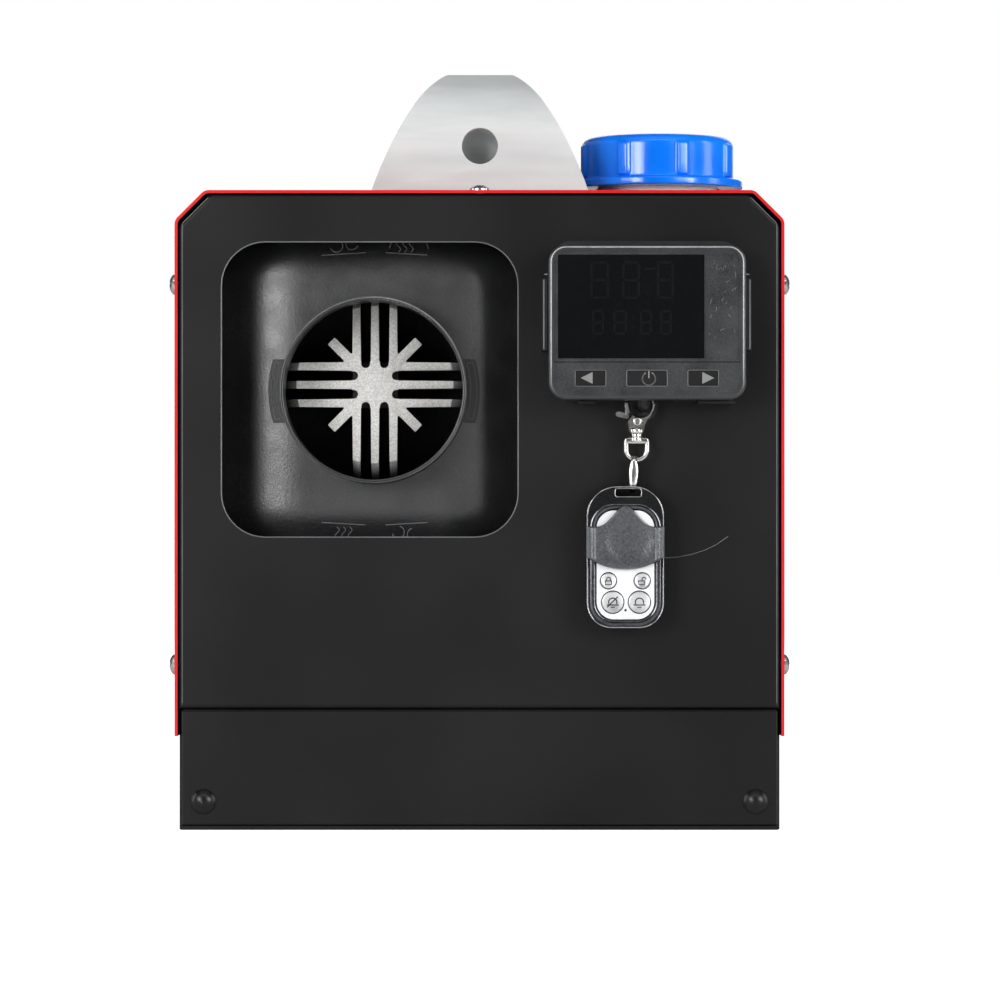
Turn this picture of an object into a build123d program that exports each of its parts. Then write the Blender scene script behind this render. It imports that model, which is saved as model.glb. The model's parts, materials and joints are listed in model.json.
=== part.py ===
from build123d import *
import os
from math import cos, radians, sin, sqrt

os.makedirs("parts", exist_ok=True)

# Sizes in millimetres. X runs to the right, Y to the back and Z up. The origin is on the
# floor, under the middle of the base.

# Case of folded sheet
case_width = 244.0
case_depth = 390.0
case_top = 256.0
skirt_bottom = 37.5
corner_cut = 12.0
cover_bend = 4.0
sheet = 1.2
base_sheet = 1.5
sheet_gap = 0.3
panel_flange = 14.0
panel_bend = 2.0
corner_relief = 0.5
base_height = 48.0
base_flange = 12.0
base_bend = 3.0
base_inset = 0.5
lower_cover_margin = 0.9
lower_cover_round = 0.8
service_margin = 25.3
service_bottom = 20.0
service_top = 40.0
vent_count = 7
vent_length = 60.0
vent_width = 4.0
vent_pitch = 12.0
vent_y = 95.0
vent_z = 170.0

# Fasteners of the case
screw_head_radius = 4.05
screw_head_height = 2.5
head_rim = 0.5
screw_radius = 2.0
screw_hole_gap = 0.25
screw_length = 2.7
screw_inset = 7.0
side_screw_heights = (66.0, 218.5)
rivet_radius = 5.0
rivet_height = 3.0
rivet_shank_radius = 3.0
rivet_hole_gap = 0.2
rivet_inset = 8.9
rivet_z = 11.4

# Square outlet opening in the front panel
opening_shift = -1.1
opening_width = 118.6
opening_height = 118.0
opening_corner = 17.5

# Heater unit
casing_side_margin = 10.2
casing_top_margin = 5.8
core_rise = 2.8
casing_width = 138.0
casing_height = 148.0
casing_corner = 22.0
casing_wall = 2.2
hood_face = -172.0
hood_back = -130.0
hood_round = 18.0
casing_back = 172.0
grille_depth = 16.0
grille_bar = 3.0
grille_pitch = 11.0
joint_gap = 0.2

# Duct ring
ring_outer = 37.5
ring_inner = 36.0
ring_front = -190.0
ring_clearance = 0.3
ear_radius = 42.9
ear_height = 25.6
ear_thickness = 2.0
ear_gap = 0.3
ring_relief = 0.5
relief_start = 0.8
ring_edge = 0.6

# Heat exchanger
star_front = -160.0
star_depth = 44.0
arm_pitch = 7.5
arm_root = 3.6
arm_tip = 2.8
arm_round = 0.5
diagonal_width = 4.0
star_hub = 7.5
star_slope = 1.2
arm_reach = 44.0
diagonal_reach = 25.2
star_flat = 32.0
drum_radius = 46.0
drum_wall = 5.0
drum_front = -116.0
drum_back = 40.0
rib_count = 24
rib_reach = 58.0
rib_thickness = 2.4
foot_width = 70.0
foot_front = -62.0
foot_back = 30.0
foot_gap = 2.0
foot_overlap = 4.0
deck_drop = 0.7
stud_radius = 3.0
stud_length = 10.0
stud_hole_gap = 0.4
stud_spacing_x = 60.0
stud_spacing_y = 82.0
nut_size = 10.0
nut_height = 5.0

# Deck that carries the heater unit
deck_left_overhang = 4.2
deck_right_overhang = 1.3
deck_front = -140.0
deck_back = 150.0
deck_foot = 14.0
deck_screw_inset = 15.0
deck_screw_shift = 2.0
deck_bend = 3.0

# Burner, blower and motor
flame_tube_radius = 28.0
flame_tube_wall = 2.0
flame_tube_front = -80.0
burner_flange = 3.0
plug_radius = 5.0
plug_y = 22.0
plug_hex = 7.0
plug_head_height = 6.0
blower_radius = 50.0
blower_depth = 37.0
blower_wall = 4.0
motor_radius = 27.0
motor_wall = 3.0
motor_depth = 50.0
shaft_radius = 4.0
bearing_gap = 0.05
shaft_start = 4.0
rotor_gap = 3.0
fan_hub = 16.0
fan_reach = 58.0
fan_blades = 9
fan_depth = 22.0
blade_thickness = 1.8
blade_twist = 35.0
fan_centre = 152.0
impeller_radius = 40.0
impeller_vanes = 12
impeller_plate = 2.0
impeller_hub = 10.0
impeller_gap = 3.0
vane_inner = 10.4
vane_outer = 39.2

# Control unit above the blower
board_half = 38.0
board_room = 3.0
board_inset = 4.0
board_corner = 4.0

# Exhaust and combustion air
stub_radius = 11.0
stub_wall = 1.5
stub_length = 20.0
exhaust_offset = 27.2
exhaust_y = -40.0
exhaust_radius = 12.0
pipe_gap = 0.1
pipe_axis_z = 30.0
exhaust_bend = 26.0
muffler_width = 56.0
muffler_height = 40.0
muffler_corner = 18.0
muffler_front = 6.0
muffler_back = 116.0
muffler_wall = 2.0
tail_end = 220.0
tip_radius = 11.6
tip_start = 197.0
intake_offset = 26.8
intake_y = -5.0
intake_hose_radius = 13.5
intake_bend = 32.0
silencer_radius = 18.0
silencer_front = 62.0
silencer_back = 150.0
silencer_end = 216.0
spigot_radius = 12.0
spigot_bore = 10.5
wall_hole_gap = 2.0
pipe_start_gap = 7.0
bracket_thickness = 3.0

# Hose clamps
clamp_band = 1.0
clamp_width = 8.0
clamp_housing_depth = 6.0
clamp_housing_width = 9.0

# Fuel tank, neck and cap
tank_left_gap = 5.3
tank_side_margin = 5.5
tank_front = -175.0
tank_back = 175.0
tank_top = 249.0
tank_wall = 3.0
tank_round = 12.0
neck_y = -115.0
neck_radius = 25.0
neck_bore = 21.0
neck_rim = 276.0
neck_hole_gap = 2.5
cap_bottom = 261.6
cap_flange = 3.5
cap_flange_radius = 35.5
cap_radius = 31.8
cap_rib_reach = 33.2
cap_rib_width = 5.0
cap_rib_top = 279.8
cap_rib_count = 8
cap_rib_phase = 17.0
cap_shoulder = 282.8
cap_crown = 283.6
cap_bore_gap = 0.5
cap_round = 4.0
seal_thickness = 3.0

# Fuel line
fuel_y = -158.0
fuel_z = 28.0
fuel_stub = 3.0
fuel_bore = 1.6
hose_radius = 5.0
hose_gap = 0.1
hose_end_gap = 1.0
pump_radius = 16.0
pump_length = 56.0
pump_lead = 22.0
pump_stub = 10.0
clip_width = 14.0
clip_wall = 3.0
clip_foot = 34.0
plunger_radius = 5.0
plunger_gap = 0.05
plunger_length = 26.0
plunger_travel = 2.5
plunger_end_gap = 1.0
filter_radius = 9.0
filter_length = 16.0
filter_lead = 25.5
filter_stub = 8.0
fuel_inlet_inset = 12.0
delivery_side = 18.0
delivery_run = 53.0
delivery_rise = 17.0
delivery_bends = (8.0, 15.0, 12.0)
spigot_length = 10.0

# Carry handle
handle_length = 320.0
handle_foot = 45.0
handle_flank = 26.6
handle_flank_z = 294.0
handle_crest = 13.0
flank_swell = (1.2, 0.6)
handle_top = 307.8
handle_round = 28.0
handle_end = 18.0
handle_blend = 20.0
waist_half = 32.0
grip_length = 224.0
grip_bottom = 262.0
grip_top = 283.0
grip_round = 10.0
finger_hole = 14.8
finger_hole_z = 276.4
finger_hole_depth = 22.0
handle_bolt_radius = 3.0
handle_bolt_x = 22.0
handle_bolt_y = 138.0
handle_bolt_length = 24.0
handle_bolt_head = 5.0
handle_bolt_head_height = 3.2

# Controller on its cradle
control_x = 66.5
control_z = 202.4
control_width = 78.4
control_height = 61.7
control_corner = 7.0
control_front = -215.0
control_split = -206.0
control_back = -197.0
control_wall = 2.0
control_edge = 1.6
control_rim = 2.4
field_depth = 0.3
lens_left = 31.1
lens_right = 89.1
lens_bottom = 188.0
lens_top = 229.1
lens_thickness = 1.0
lens_gap = 0.1
window_margin = 4.0
board_thickness = 1.6
strip_right = 102.4
strip_depth = 0.3
button_bottom = 177.1
button_top = 183.4
button_spans = ((37.9, 50.1), (58.3, 74.4), (82.4, 94.6))
button_gap = 0.25
button_recess = 0.6
button_rim = 1.2
button_corner = 1.0
cradle_thickness = 2.0
cradle_ear = 2.1
cradle_ear_bottom = 191.4
cradle_ear_top = 219.9
cradle_ear_front = -209.0
cradle_top_margin = 2.2
cradle_gap = 0.3
cradle_tab_rise = 5.0
cradle_tab_spans = ((39.0, 46.2), (86.9, 101.7))

# Controller lead
lead_x = 65.3
lead_z = 169.4
lead_y = -209.0
lead_radius = 2.4
lead_bend = 5.0
lead_gap = 0.1
lead_run_y = -184.0
lead_plug_x = 27.0
plug_block = (12.0, 9.0, 9.0)
notch_left = 53.0
notch_right = 77.6
notch_top = 181.0
grommet_radius = 6.0
grommet_flange = 1.2
grommet_groove = 4.5

# Lobster clasp
clasp_y = -202.0
clasp_thickness = 3.5
eye_x = 63.9
eye_z = 168.3
eye_radius = 4.5
claw_radius = 6.2
clasp_x = 62.6
barrel_radius = 3.0
barrel_bottom = 158.4
barrel_top = 162.6
gate_thickness = 1.6
gate_gap = 0.15
gate_hinge_radius = 2.2
gate_eye_gap = 0.3
gate_tip_z = 171.5
trigger_left = 54.1
trigger_bottom = 164.3
trigger_top = 167.0
trigger_slope = 0.4
pivot_x = 60.2
pivot_z = 164.2
pivot_radius = 0.7

# Swivel with its D ring, and the link strip
stem_radius = 1.2
stem_gap = 0.1
stem_head_radius = 1.9
stem_head = 1.4
swivel_collar = 2.4
d_ring_width = 10.1
d_ring_bar_z = 148.0
d_ring_wire = 0.9
d_ring_top = 156.2
d_ring_corner = 1.2
d_ring_lean = 1.0
link_x = 61.3
link_width = 3.2
link_band = 1.0
link_inner_width = 5.5
hang_gap = 0.3

# Key fob
fob_x = 58.0
fob_width = 31.0
fob_top = 137.7
fob_bottom = 80.9
fob_top_corner = 12.0
fob_bottom_corner = 10.0
fob_back = -198.0
fob_front = -207.0
fob_edge = 1.0
bridge_height = 1.6
slot_corner = 0.8
slot_left = 54.1
slot_right = 64.3
slot_bottom = 133.1
plate_left = 46.5
plate_right = 69.6
plate_bottom = 84.5
plate_top = 127.9
plate_corner = 7.0
plate_thickness = 0.9
slide_top = 130.1
slide_shoulder = 121.5
slide_side = 109.3
slide_bottom = 104.5
slide_thickness = 1.9
slide_clearance = 0.6
slide_lip = 0.8
slide_lip_depth = 2.0
slide_travel = 18.0
slide_edge = 0.5
bell_swell = (1.5, 1.6)
shoulder_slope = (0.5, 1)
small_key_radius = 3.05
small_key_z = 99.9
small_key_x = (51.3, 64.7)
large_key_radius = 4.25
large_key_z = 91.4
large_key_x = (53.0, 63.6)
key_proud = 0.3
key_edge = 0.27
key_gap = 0.15
key_rim = 0.6
key_height = 1.9
key_travel = 0.5
key_room = 0.3

# Power gland on the rear panel
gland_z = 66.0
gland_radius = 9.0
gland_thread = 6.0
gland_length = 14.0
gland_bore = 3.5

# Length by which joined bodies and cutters run past each other, and the reach of a cutter
# that goes right through a sheet wall
overlap = 1.0
through_cut = 10.0

front = -case_depth / 2
back = case_depth / 2
panel_half = case_width / 2 - sheet - sheet_gap
panel_top = case_top - sheet - sheet_gap
panel_bottom = base_height + sheet_gap
panel_corner = corner_cut + corner_relief
base_half = case_width / 2 - sheet - base_inset
base_front = front + sheet + sheet_gap
lower_half = base_half - lower_cover_margin
rivet_x = lower_half - rivet_inset
service_width = 2 * (base_half - service_margin)
heater_x = -case_width / 2 + casing_side_margin + casing_width / 2
outlet_z = case_top - casing_top_margin - casing_height / 2
core_z = outlet_z + core_rise
opening_x = heater_x + opening_shift
deck_top = outlet_z - casing_height / 2 - deck_drop
deck_left = heater_x - casing_width / 2 - deck_left_overhang
deck_right = heater_x + casing_width / 2 + deck_right_overhang
exhaust_x = heater_x - exhaust_offset
intake_x = heater_x + intake_offset
tank_left = heater_x + casing_width / 2 + tank_left_gap
tank_right = case_width / 2 - tank_side_margin
filter_right = tank_left - filter_lead
filter_left = filter_right - filter_length
pump_right = filter_left - pump_lead
pump_left = pump_right - pump_length
delivery_turn_x = pump_left - delivery_side
tank_x = (tank_left + tank_right) / 2
gland_x = tank_x
screw_hole = screw_radius + screw_hole_gap
rivet_hole = rivet_shank_radius + rivet_hole_gap
casing_bottom = outlet_z - casing_height / 2


def facing(y):
    # Upright plane at depth y: right is X, up is Z, and it extrudes towards the front.
    return Plane.XZ.offset(-y)


def cut_corner_outline(half, bottom, top, corner, radius):
    # Upright outline with its two upper corners cut at 45 degrees and slightly rounded.
    with BuildSketch() as outline:
        with BuildLine():
            Polyline(
                (-half, bottom),
                (-half, top - corner),
                (-half + corner, top),
                (half - corner, top),
                (half, top - corner),
                (half, bottom),
                close=True,
            )
        make_face()
        fillet(outline.vertices().sort_by(Axis.Y)[-4:], radius)
    return outline.sketch


def folded_strip(points, radius, thickness, side):
    # Section of a folded sheet: one face follows the points, the other lies a thickness off.
    with BuildSketch() as strip:
        with BuildLine():
            FilletPolyline(*points, radius=radius)
            offset(amount=thickness, side=side)
        make_face()
    return strip.sketch


def upright_box(x_span, y_span, z_span):
    # Plain block between two corners, kept apart from any open builder.
    size = (x_span[1] - x_span[0], y_span[1] - y_span[0], z_span[1] - z_span[0])
    centre = ((x_span[0] + x_span[1]) / 2, (y_span[0] + y_span[1]) / 2, (z_span[0] + z_span[1]) / 2)
    return Pos(*centre) * Box(*size, mode=Mode.PRIVATE)


def headed_pin(head_radius, head_height, shank_radius, length):
    # Low domed head above z = 0 and a straight shank below it.
    with BuildPart() as pin:
        with BuildSketch(Plane.XZ):
            with BuildLine():
                Polyline((0, head_height), (0, 0), (head_radius, 0), (head_radius, head_rim))
                TangentArc((0, head_height), (head_radius, head_rim), tangent=(1, 0))
            make_face()
        revolve(axis=Axis.Z)
        with Locations((0, 0, -length / 2)):
            Cylinder(shank_radius, length)
    return pin.part


def band_clamp(inner, band, width):
    # Worm-drive hose clamp: a band about Z with its screw housing.
    with BuildPart() as clamp:
        Cylinder(inner + band, width)
        with Locations((inner + band + clamp_housing_depth / 4, 0, 0)):
            Box(clamp_housing_depth, clamp_housing_width, width)
        Cylinder(inner, width, mode=Mode.SUBTRACT)
    return clamp.part


def hose(points, radius, outer, inner):
    # Tube along straight runs joined by arcs.
    with BuildPart() as tube:
        with BuildLine() as path:
            FilletPolyline(*points, radius=radius)
        with BuildSketch(Plane(origin=path.line @ 0, z_dir=path.line % 0)):
            Circle(outer)
            Circle(inner, mode=Mode.SUBTRACT)
        sweep()
    return tube.part


# Seats of the case screws: two on each side and one on top, at the front and at the back.
cover_screw_seats = [
    Plane(origin=(side * case_width / 2, end * (back - screw_inset), z), z_dir=(side, 0, 0))
    for side in (-1, 1)
    for end in (-1, 1)
    for z in side_screw_heights
]
cover_screw_seats += [
    Plane(origin=(0, end * (back - screw_inset), case_top), z_dir=(0, 0, 1)) for end in (-1, 1)
]
deck_screw_x = (
    deck_left + deck_foot / 2 + deck_screw_shift,
    deck_right - deck_foot / 2 - deck_screw_shift,
)
deck_screw_y = (deck_front + deck_screw_inset, deck_back - deck_screw_inset)
deck_screw_seats = [
    Plane(origin=(x, y, base_sheet + base_sheet), z_dir=(0, 0, 1))
    for x in deck_screw_x
    for y in deck_screw_y
]
handle_bolt_spots = [
    (x, y) for x in (-handle_bolt_x, handle_bolt_x) for y in (-handle_bolt_y, handle_bolt_y)
]

# ---- Outer cover: one folded sheet with its upper corners cut
with BuildPart() as outer_cover:
    with BuildSketch(facing(back)):
        add(
            folded_strip(
                [
                    (-case_width / 2, skirt_bottom),
                    (-case_width / 2, case_top - corner_cut),
                    (-case_width / 2 + corner_cut, case_top),
                    (case_width / 2 - corner_cut, case_top),
                    (case_width / 2, case_top - corner_cut),
                    (case_width / 2, skirt_bottom),
                ],
                cover_bend,
                sheet,
                Side.RIGHT,
            )
        )
    extrude(amount=case_depth)
    with Locations(*cover_screw_seats):
        Cylinder(screw_hole, through_cut, mode=Mode.SUBTRACT)
    with Locations((tank_x, neck_y, case_top)):
        Cylinder(neck_radius + neck_hole_gap, through_cut, mode=Mode.SUBTRACT)
    with Locations(*[(x, y, case_top) for x, y in handle_bolt_spots]):
        Cylinder(handle_bolt_radius + screw_hole_gap, through_cut, mode=Mode.SUBTRACT)
    with BuildSketch(Plane.YZ.offset(-case_width)):
        with Locations((vent_y, vent_z)):
            with GridLocations(vent_pitch, 0, vent_count, 1):
                SlotOverall(vent_length, vent_width, rotation=90)
    extrude(amount=2 * case_width, mode=Mode.SUBTRACT)

outer_cover.part.label = "outer_cover"
export_step(outer_cover.part, "parts/outer_cover.step")


def panel_pan():
    # Folded pan with its face at the front of the case and its flanges turned inwards.
    with BuildPart() as pan:
        with BuildSketch(facing(front + panel_flange)):
            add(cut_corner_outline(panel_half, panel_bottom, panel_top, panel_corner, cover_bend))
        extrude(amount=panel_flange)
        fillet(pan.faces().sort_by(Axis.Y)[0].edges(), panel_bend)
        with BuildSketch(facing(front + panel_flange)):
            add(
                cut_corner_outline(
                    panel_half - sheet,
                    panel_bottom + sheet,
                    panel_top - sheet,
                    panel_corner - sheet * (2 - sqrt(2)),
                    cover_bend - sheet,
                )
            )
        extrude(amount=panel_flange - sheet, mode=Mode.SUBTRACT)
    return pan.part


# ---- Front panel with the square outlet opening and the lead's hole
with BuildPart() as front_panel:
    add(panel_pan())
    with BuildSketch(facing(front)):
        with Locations((opening_x, outlet_z)):
            RectangleRounded(opening_width, opening_height, opening_corner)
        with Locations((lead_x, lead_z)):
            Circle(grommet_groove)
    extrude(amount=-sheet, mode=Mode.SUBTRACT)
    with Locations(*cover_screw_seats):
        Cylinder(screw_hole, through_cut, mode=Mode.SUBTRACT)

front_panel.part.label = "front_panel"
export_step(front_panel.part, "parts/front_panel.step")

# ---- Rear panel with the intake opening and the gland's hole
with BuildPart() as rear_panel:
    add(panel_pan())
    mirror(about=Plane.XZ, mode=Mode.REPLACE)
    with BuildSketch(facing(back)):
        with Locations((heater_x, outlet_z)):
            RectangleRounded(opening_width, opening_height, opening_corner)
        with Locations((gland_x, gland_z)):
            Circle(gland_thread + screw_hole_gap)
    extrude(amount=sheet, mode=Mode.SUBTRACT)
    with Locations(*cover_screw_seats):
        Cylinder(screw_hole, through_cut, mode=Mode.SUBTRACT)

rear_panel.part.label = "rear_panel"
export_step(rear_panel.part, "parts/rear_panel.step")

# ---- Base pan: floor, side walls, rear wall and a front wall with a service opening
with BuildPart() as base_pan:
    add(upright_box((-base_half, base_half), (base_front, back), (0, base_height)))
    fillet(base_pan.edges().filter_by(Axis.Z), base_bend)
    with BuildSketch(Plane.XY.offset(base_sheet)):
        with Locations((0, (base_front + back) / 2)):
            RectangleRounded(
                2 * (base_half - base_sheet),
                back - base_front - 2 * base_sheet,
                base_bend - base_sheet,
            )
    extrude(amount=base_height - 2 * base_sheet, mode=Mode.SUBTRACT)
    add(
        upright_box(
            (base_sheet - base_half, base_half - base_sheet),
            (base_front + base_flange, back - base_flange),
            (base_height - 2 * base_sheet, base_height + overlap),
        ),
        mode=Mode.SUBTRACT,
    )
    add(
        upright_box(
            (-service_width / 2, service_width / 2),
            (base_front - overlap, base_front + 2 * base_sheet),
            (service_bottom, service_top),
        ),
        mode=Mode.SUBTRACT,
    )
    add(upright_box((-lower_half, lower_half), (front, base_front + base_bend), (0, base_sheet)))
    with BuildSketch(facing(back)):
        with Locations((exhaust_x, pipe_axis_z)):
            Circle(exhaust_radius + wall_hole_gap)
        with Locations((intake_x, pipe_axis_z)):
            Circle(spigot_radius + wall_hole_gap)
    extrude(amount=2 * base_sheet, mode=Mode.SUBTRACT)
    with BuildSketch(facing(base_front)):
        with Locations((-rivet_x, rivet_z), (rivet_x, rivet_z)):
            Circle(rivet_hole)
    extrude(amount=-base_sheet, mode=Mode.SUBTRACT)
    with Locations(*deck_screw_seats):
        Cylinder(screw_hole, through_cut, mode=Mode.SUBTRACT)

base_pan.part.label = "base_pan"
export_step(base_pan.part, "parts/base_pan.step")

# ---- Lower front cover, held by two snap rivets
with BuildPart() as lower_front_cover:
    add(
        upright_box(
            (-lower_half, lower_half),
            (front, front + sheet),
            (base_sheet + sheet_gap, base_height - sheet_gap),
        )
    )
    fillet(lower_front_cover.faces().sort_by(Axis.Y)[0].edges(), lower_cover_round)
    with BuildSketch(facing(front)):
        with Locations((-rivet_x, rivet_z), (rivet_x, rivet_z)):
            Circle(rivet_hole)
    extrude(amount=-sheet, mode=Mode.SUBTRACT)

lower_front_cover.part.label = "lower_front_cover"
export_step(lower_front_cover.part, "parts/lower_front_cover.step")

with BuildPart() as snap_rivets:
    with Locations(
        Plane(origin=(-rivet_x, front, rivet_z), z_dir=(0, -1, 0)),
        Plane(origin=(rivet_x, front, rivet_z), z_dir=(0, -1, 0)),
    ):
        add(
            headed_pin(
                rivet_radius, rivet_height, rivet_shank_radius, sheet + sheet_gap + 3 * base_sheet
            )
        )

snap_rivets.part.label = "snap_rivets"
export_step(snap_rivets.part, "parts/snap_rivets.step")

with BuildPart() as case_screws:
    with Locations(*cover_screw_seats):
        add(headed_pin(screw_head_radius, screw_head_height, screw_radius, screw_length))
    with Locations(*deck_screw_seats):
        add(headed_pin(screw_head_radius, screw_head_height, screw_radius, screw_length))

case_screws.part.label = "case_screws"
export_step(case_screws.part, "parts/case_screws.step")

# ---- Deck: a bridge of folded sheet on two turned-in feet
with BuildPart() as heater_deck:
    with BuildSketch(facing(deck_back)):
        add(
            folded_strip(
                [
                    (deck_left + deck_foot, base_sheet),
                    (deck_left, base_sheet),
                    (deck_left, deck_top),
                    (deck_right, deck_top),
                    (deck_right, base_sheet),
                    (deck_right - deck_foot, base_sheet),
                ],
                deck_bend,
                base_sheet,
                Side.RIGHT,
            )
        )
    extrude(amount=deck_back - deck_front)
    with BuildSketch(Plane.XY.offset(deck_top)):
        with Locations((exhaust_x, exhaust_y), (intake_x, intake_y)):
            Circle(stub_radius + stub_wall)
        with Locations((heater_x, (foot_front + foot_back) / 2)):
            with GridLocations(stud_spacing_x, stud_spacing_y, 2, 2):
                Circle(stud_radius + stud_hole_gap)
        with Locations((heater_x, foot_front + fuel_inlet_inset)):
            Circle(fuel_stub + stud_hole_gap)
    extrude(amount=-2 * base_sheet, mode=Mode.SUBTRACT)
    with Locations(*deck_screw_seats):
        Cylinder(screw_hole, 4 * base_sheet, mode=Mode.SUBTRACT)

heater_deck.part.label = "heater_deck"
export_step(heater_deck.part, "parts/heater_deck.step")


# ---- Carry handle: a moulded grip with sloping flanks, a hand opening and blind end holes
with BuildPart() as carry_handle:
    with BuildSketch(facing(handle_length / 2)):
        with BuildLine():
            foot_line = Line((0, case_top), (handle_foot, case_top))
            flank = ThreePointArc(
                foot_line @ 1,
                (
                    (handle_foot + handle_flank) / 2 + flank_swell[0],
                    (case_top + handle_flank_z) / 2 + flank_swell[1],
                ),
                (handle_flank, handle_flank_z),
            )
            shoulder = TangentArc(flank @ 1, (handle_crest, handle_top), tangent=flank % 1)
            Line(shoulder @ 1, (0, handle_top))
            mirror(about=Plane.YZ)
        make_face()
    extrude(amount=handle_length)
    with BuildSketch(Plane.YZ.offset(-handle_foot)) as side_view:
        with Locations((0, (case_top + handle_top) / 2)):
            Rectangle(handle_length, handle_top - case_top)
        fillet(side_view.vertices().group_by(Axis.Y)[-1], handle_round)
        with Locations((0, (grip_bottom + grip_top) / 2)):
            RectangleRounded(
                grip_length, grip_top - grip_bottom, grip_round, mode=Mode.SUBTRACT
            )
    extrude(amount=2 * handle_foot, mode=Mode.INTERSECT)
    with BuildSketch(Plane.XY.offset(case_top)):
        with BuildLine():
            end_y = handle_length / 2
            Polyline((0, end_y), (handle_foot, end_y), (handle_foot, end_y - handle_end))
            Spline(
                (handle_foot, end_y - handle_end),
                (waist_half, end_y - handle_end - handle_blend),
                tangents=((0, -1), (0, -1)),
            )
            Line(
                (waist_half, end_y - handle_end - handle_blend),
                (waist_half, 0),
            )
            mirror(about=Plane.XZ)
            mirror(about=Plane.YZ)
        make_face()
    extrude(amount=handle_top - case_top, mode=Mode.INTERSECT)
    with Locations(
        Plane(origin=(0, -handle_length / 2, finger_hole_z), z_dir=(0, -1, 0)),
        Plane(origin=(0, handle_length / 2, finger_hole_z), z_dir=(0, 1, 0)),
    ):
        Cylinder(finger_hole / 2, 2 * (finger_hole_depth - finger_hole / 2), mode=Mode.SUBTRACT)
    with Locations(
        (0, finger_hole_depth - (handle_length + finger_hole) / 2, finger_hole_z),
        (0, (handle_length + finger_hole) / 2 - finger_hole_depth, finger_hole_z),
    ):
        Sphere(finger_hole / 2, mode=Mode.SUBTRACT)
    with Locations(*[(x, y, case_top) for x, y in handle_bolt_spots]):
        Cylinder(handle_bolt_radius, 2 * handle_bolt_length, mode=Mode.SUBTRACT)

carry_handle.part.label = "carry_handle"
export_step(carry_handle.part, "parts/carry_handle.step")

with BuildPart() as handle_bolts:
    with Locations(
        *[Plane(origin=(x, y, case_top - sheet), z_dir=(0, 0, -1)) for x, y in handle_bolt_spots]
    ):
        add(
            headed_pin(
                handle_bolt_head,
                handle_bolt_head_height,
                handle_bolt_radius,
                handle_bolt_length + sheet - overlap,
            )
        )

handle_bolts.part.label = "handle_bolts"
export_step(handle_bolts.part, "parts/handle_bolts.step")


# ---- Fuel tank with its filler neck and its outlet spigot
def rounded_block(x_span, y_span, z_span, radius):
    with BuildPart() as block:
        add(upright_box(x_span, y_span, z_span))
        fillet(block.edges(), radius)
    return block.part


with BuildPart() as fuel_tank:
    add(
        rounded_block(
            (tank_left, tank_right), (tank_front, tank_back), (base_sheet, tank_top), tank_round
        )
    )
    with Locations((tank_x, neck_y, (tank_top - tank_round + neck_rim) / 2)):
        Cylinder(neck_radius, neck_rim - tank_top + tank_round)
    with Locations(Plane(origin=(tank_left - spigot_length / 2, fuel_y, fuel_z), z_dir=(1, 0, 0))):
        Cylinder(fuel_stub, spigot_length + 2 * tank_wall)
    add(
        rounded_block(
            (tank_left + tank_wall, tank_right - tank_wall),
            (tank_front + tank_wall, tank_back - tank_wall),
            (base_sheet + tank_wall, tank_top - tank_wall),
            tank_round - tank_wall,
        ),
        mode=Mode.SUBTRACT,
    )
    with Locations((tank_x, neck_y, neck_rim)):
        Cylinder(neck_bore, 2 * (neck_rim - tank_top + 2 * tank_wall), mode=Mode.SUBTRACT)
    with Locations(Plane(origin=(tank_left, fuel_y, fuel_z), z_dir=(1, 0, 0))):
        Cylinder(fuel_bore, 4 * spigot_length, mode=Mode.SUBTRACT)

fuel_tank.part.label = "fuel_tank"
export_step(fuel_tank.part, "parts/fuel_tank.step")

# ---- Filler cap: flange, ribbed skirt and a low crown over the neck's rim
cap_inside = neck_radius + cap_bore_gap
with BuildPart() as filler_cap:
    with BuildSketch(Plane(origin=(tank_x, neck_y, 0), x_dir=(1, 0, 0), z_dir=(0, -1, 0))):
        with BuildLine():
            Polyline(
                (0, cap_crown),
                (0, neck_rim + seal_thickness),
                (cap_inside, neck_rim + seal_thickness),
                (cap_inside, cap_bottom),
                (cap_flange_radius, cap_bottom),
                (cap_flange_radius, cap_bottom + cap_flange),
                (cap_radius, cap_bottom + cap_flange),
                (cap_radius, cap_shoulder - cap_round),
            )
            ThreePointArc(
                (cap_radius, cap_shoulder - cap_round),
                (
                    cap_radius - cap_round * (1 - cos(radians(45))),
                    cap_shoulder - cap_round * (1 - sin(radians(45))),
                ),
                (cap_radius - cap_round, cap_shoulder),
            )
            TangentArc((0, cap_crown), (cap_radius - cap_round, cap_shoulder), tangent=(1, 0))
        make_face()
    revolve(axis=Axis((tank_x, neck_y, 0), (0, 0, 1)))
    with BuildSketch(Plane.XY.offset(cap_bottom + cap_flange)):
        with Locations((tank_x, neck_y)):
            with PolarLocations(cap_radius - overlap, cap_rib_count, start_angle=cap_rib_phase - 90):
                Rectangle(2 * (cap_rib_reach - cap_radius + overlap), cap_rib_width)
    extrude(amount=cap_rib_top - cap_bottom - cap_flange)

filler_cap.part.label = "filler_cap"
export_step(filler_cap.part, "parts/filler_cap.step")

with BuildPart() as cap_seal:
    with Locations((tank_x, neck_y, neck_rim + seal_thickness / 2)):
        Cylinder(neck_radius, seal_thickness)
        Cylinder(neck_bore, seal_thickness, mode=Mode.SUBTRACT)

cap_seal.part.label = "cap_seal"
export_step(cap_seal.part, "parts/cap_seal.step")

print("case, handle and tank done")


def hood_block(inset, face):
    # Domed block between a face depth and the casing's split, smaller all round by an inset.
    with BuildPart() as block:
        with BuildSketch(facing(hood_back)):
            with Locations((heater_x, outlet_z)):
                RectangleRounded(
                    casing_width - 2 * inset, casing_height - 2 * inset, casing_corner - inset
                )
        extrude(amount=hood_back - face)
        fillet(block.faces().sort_by(Axis.Y)[0].edges(), hood_round - inset)
    return block.part


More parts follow.
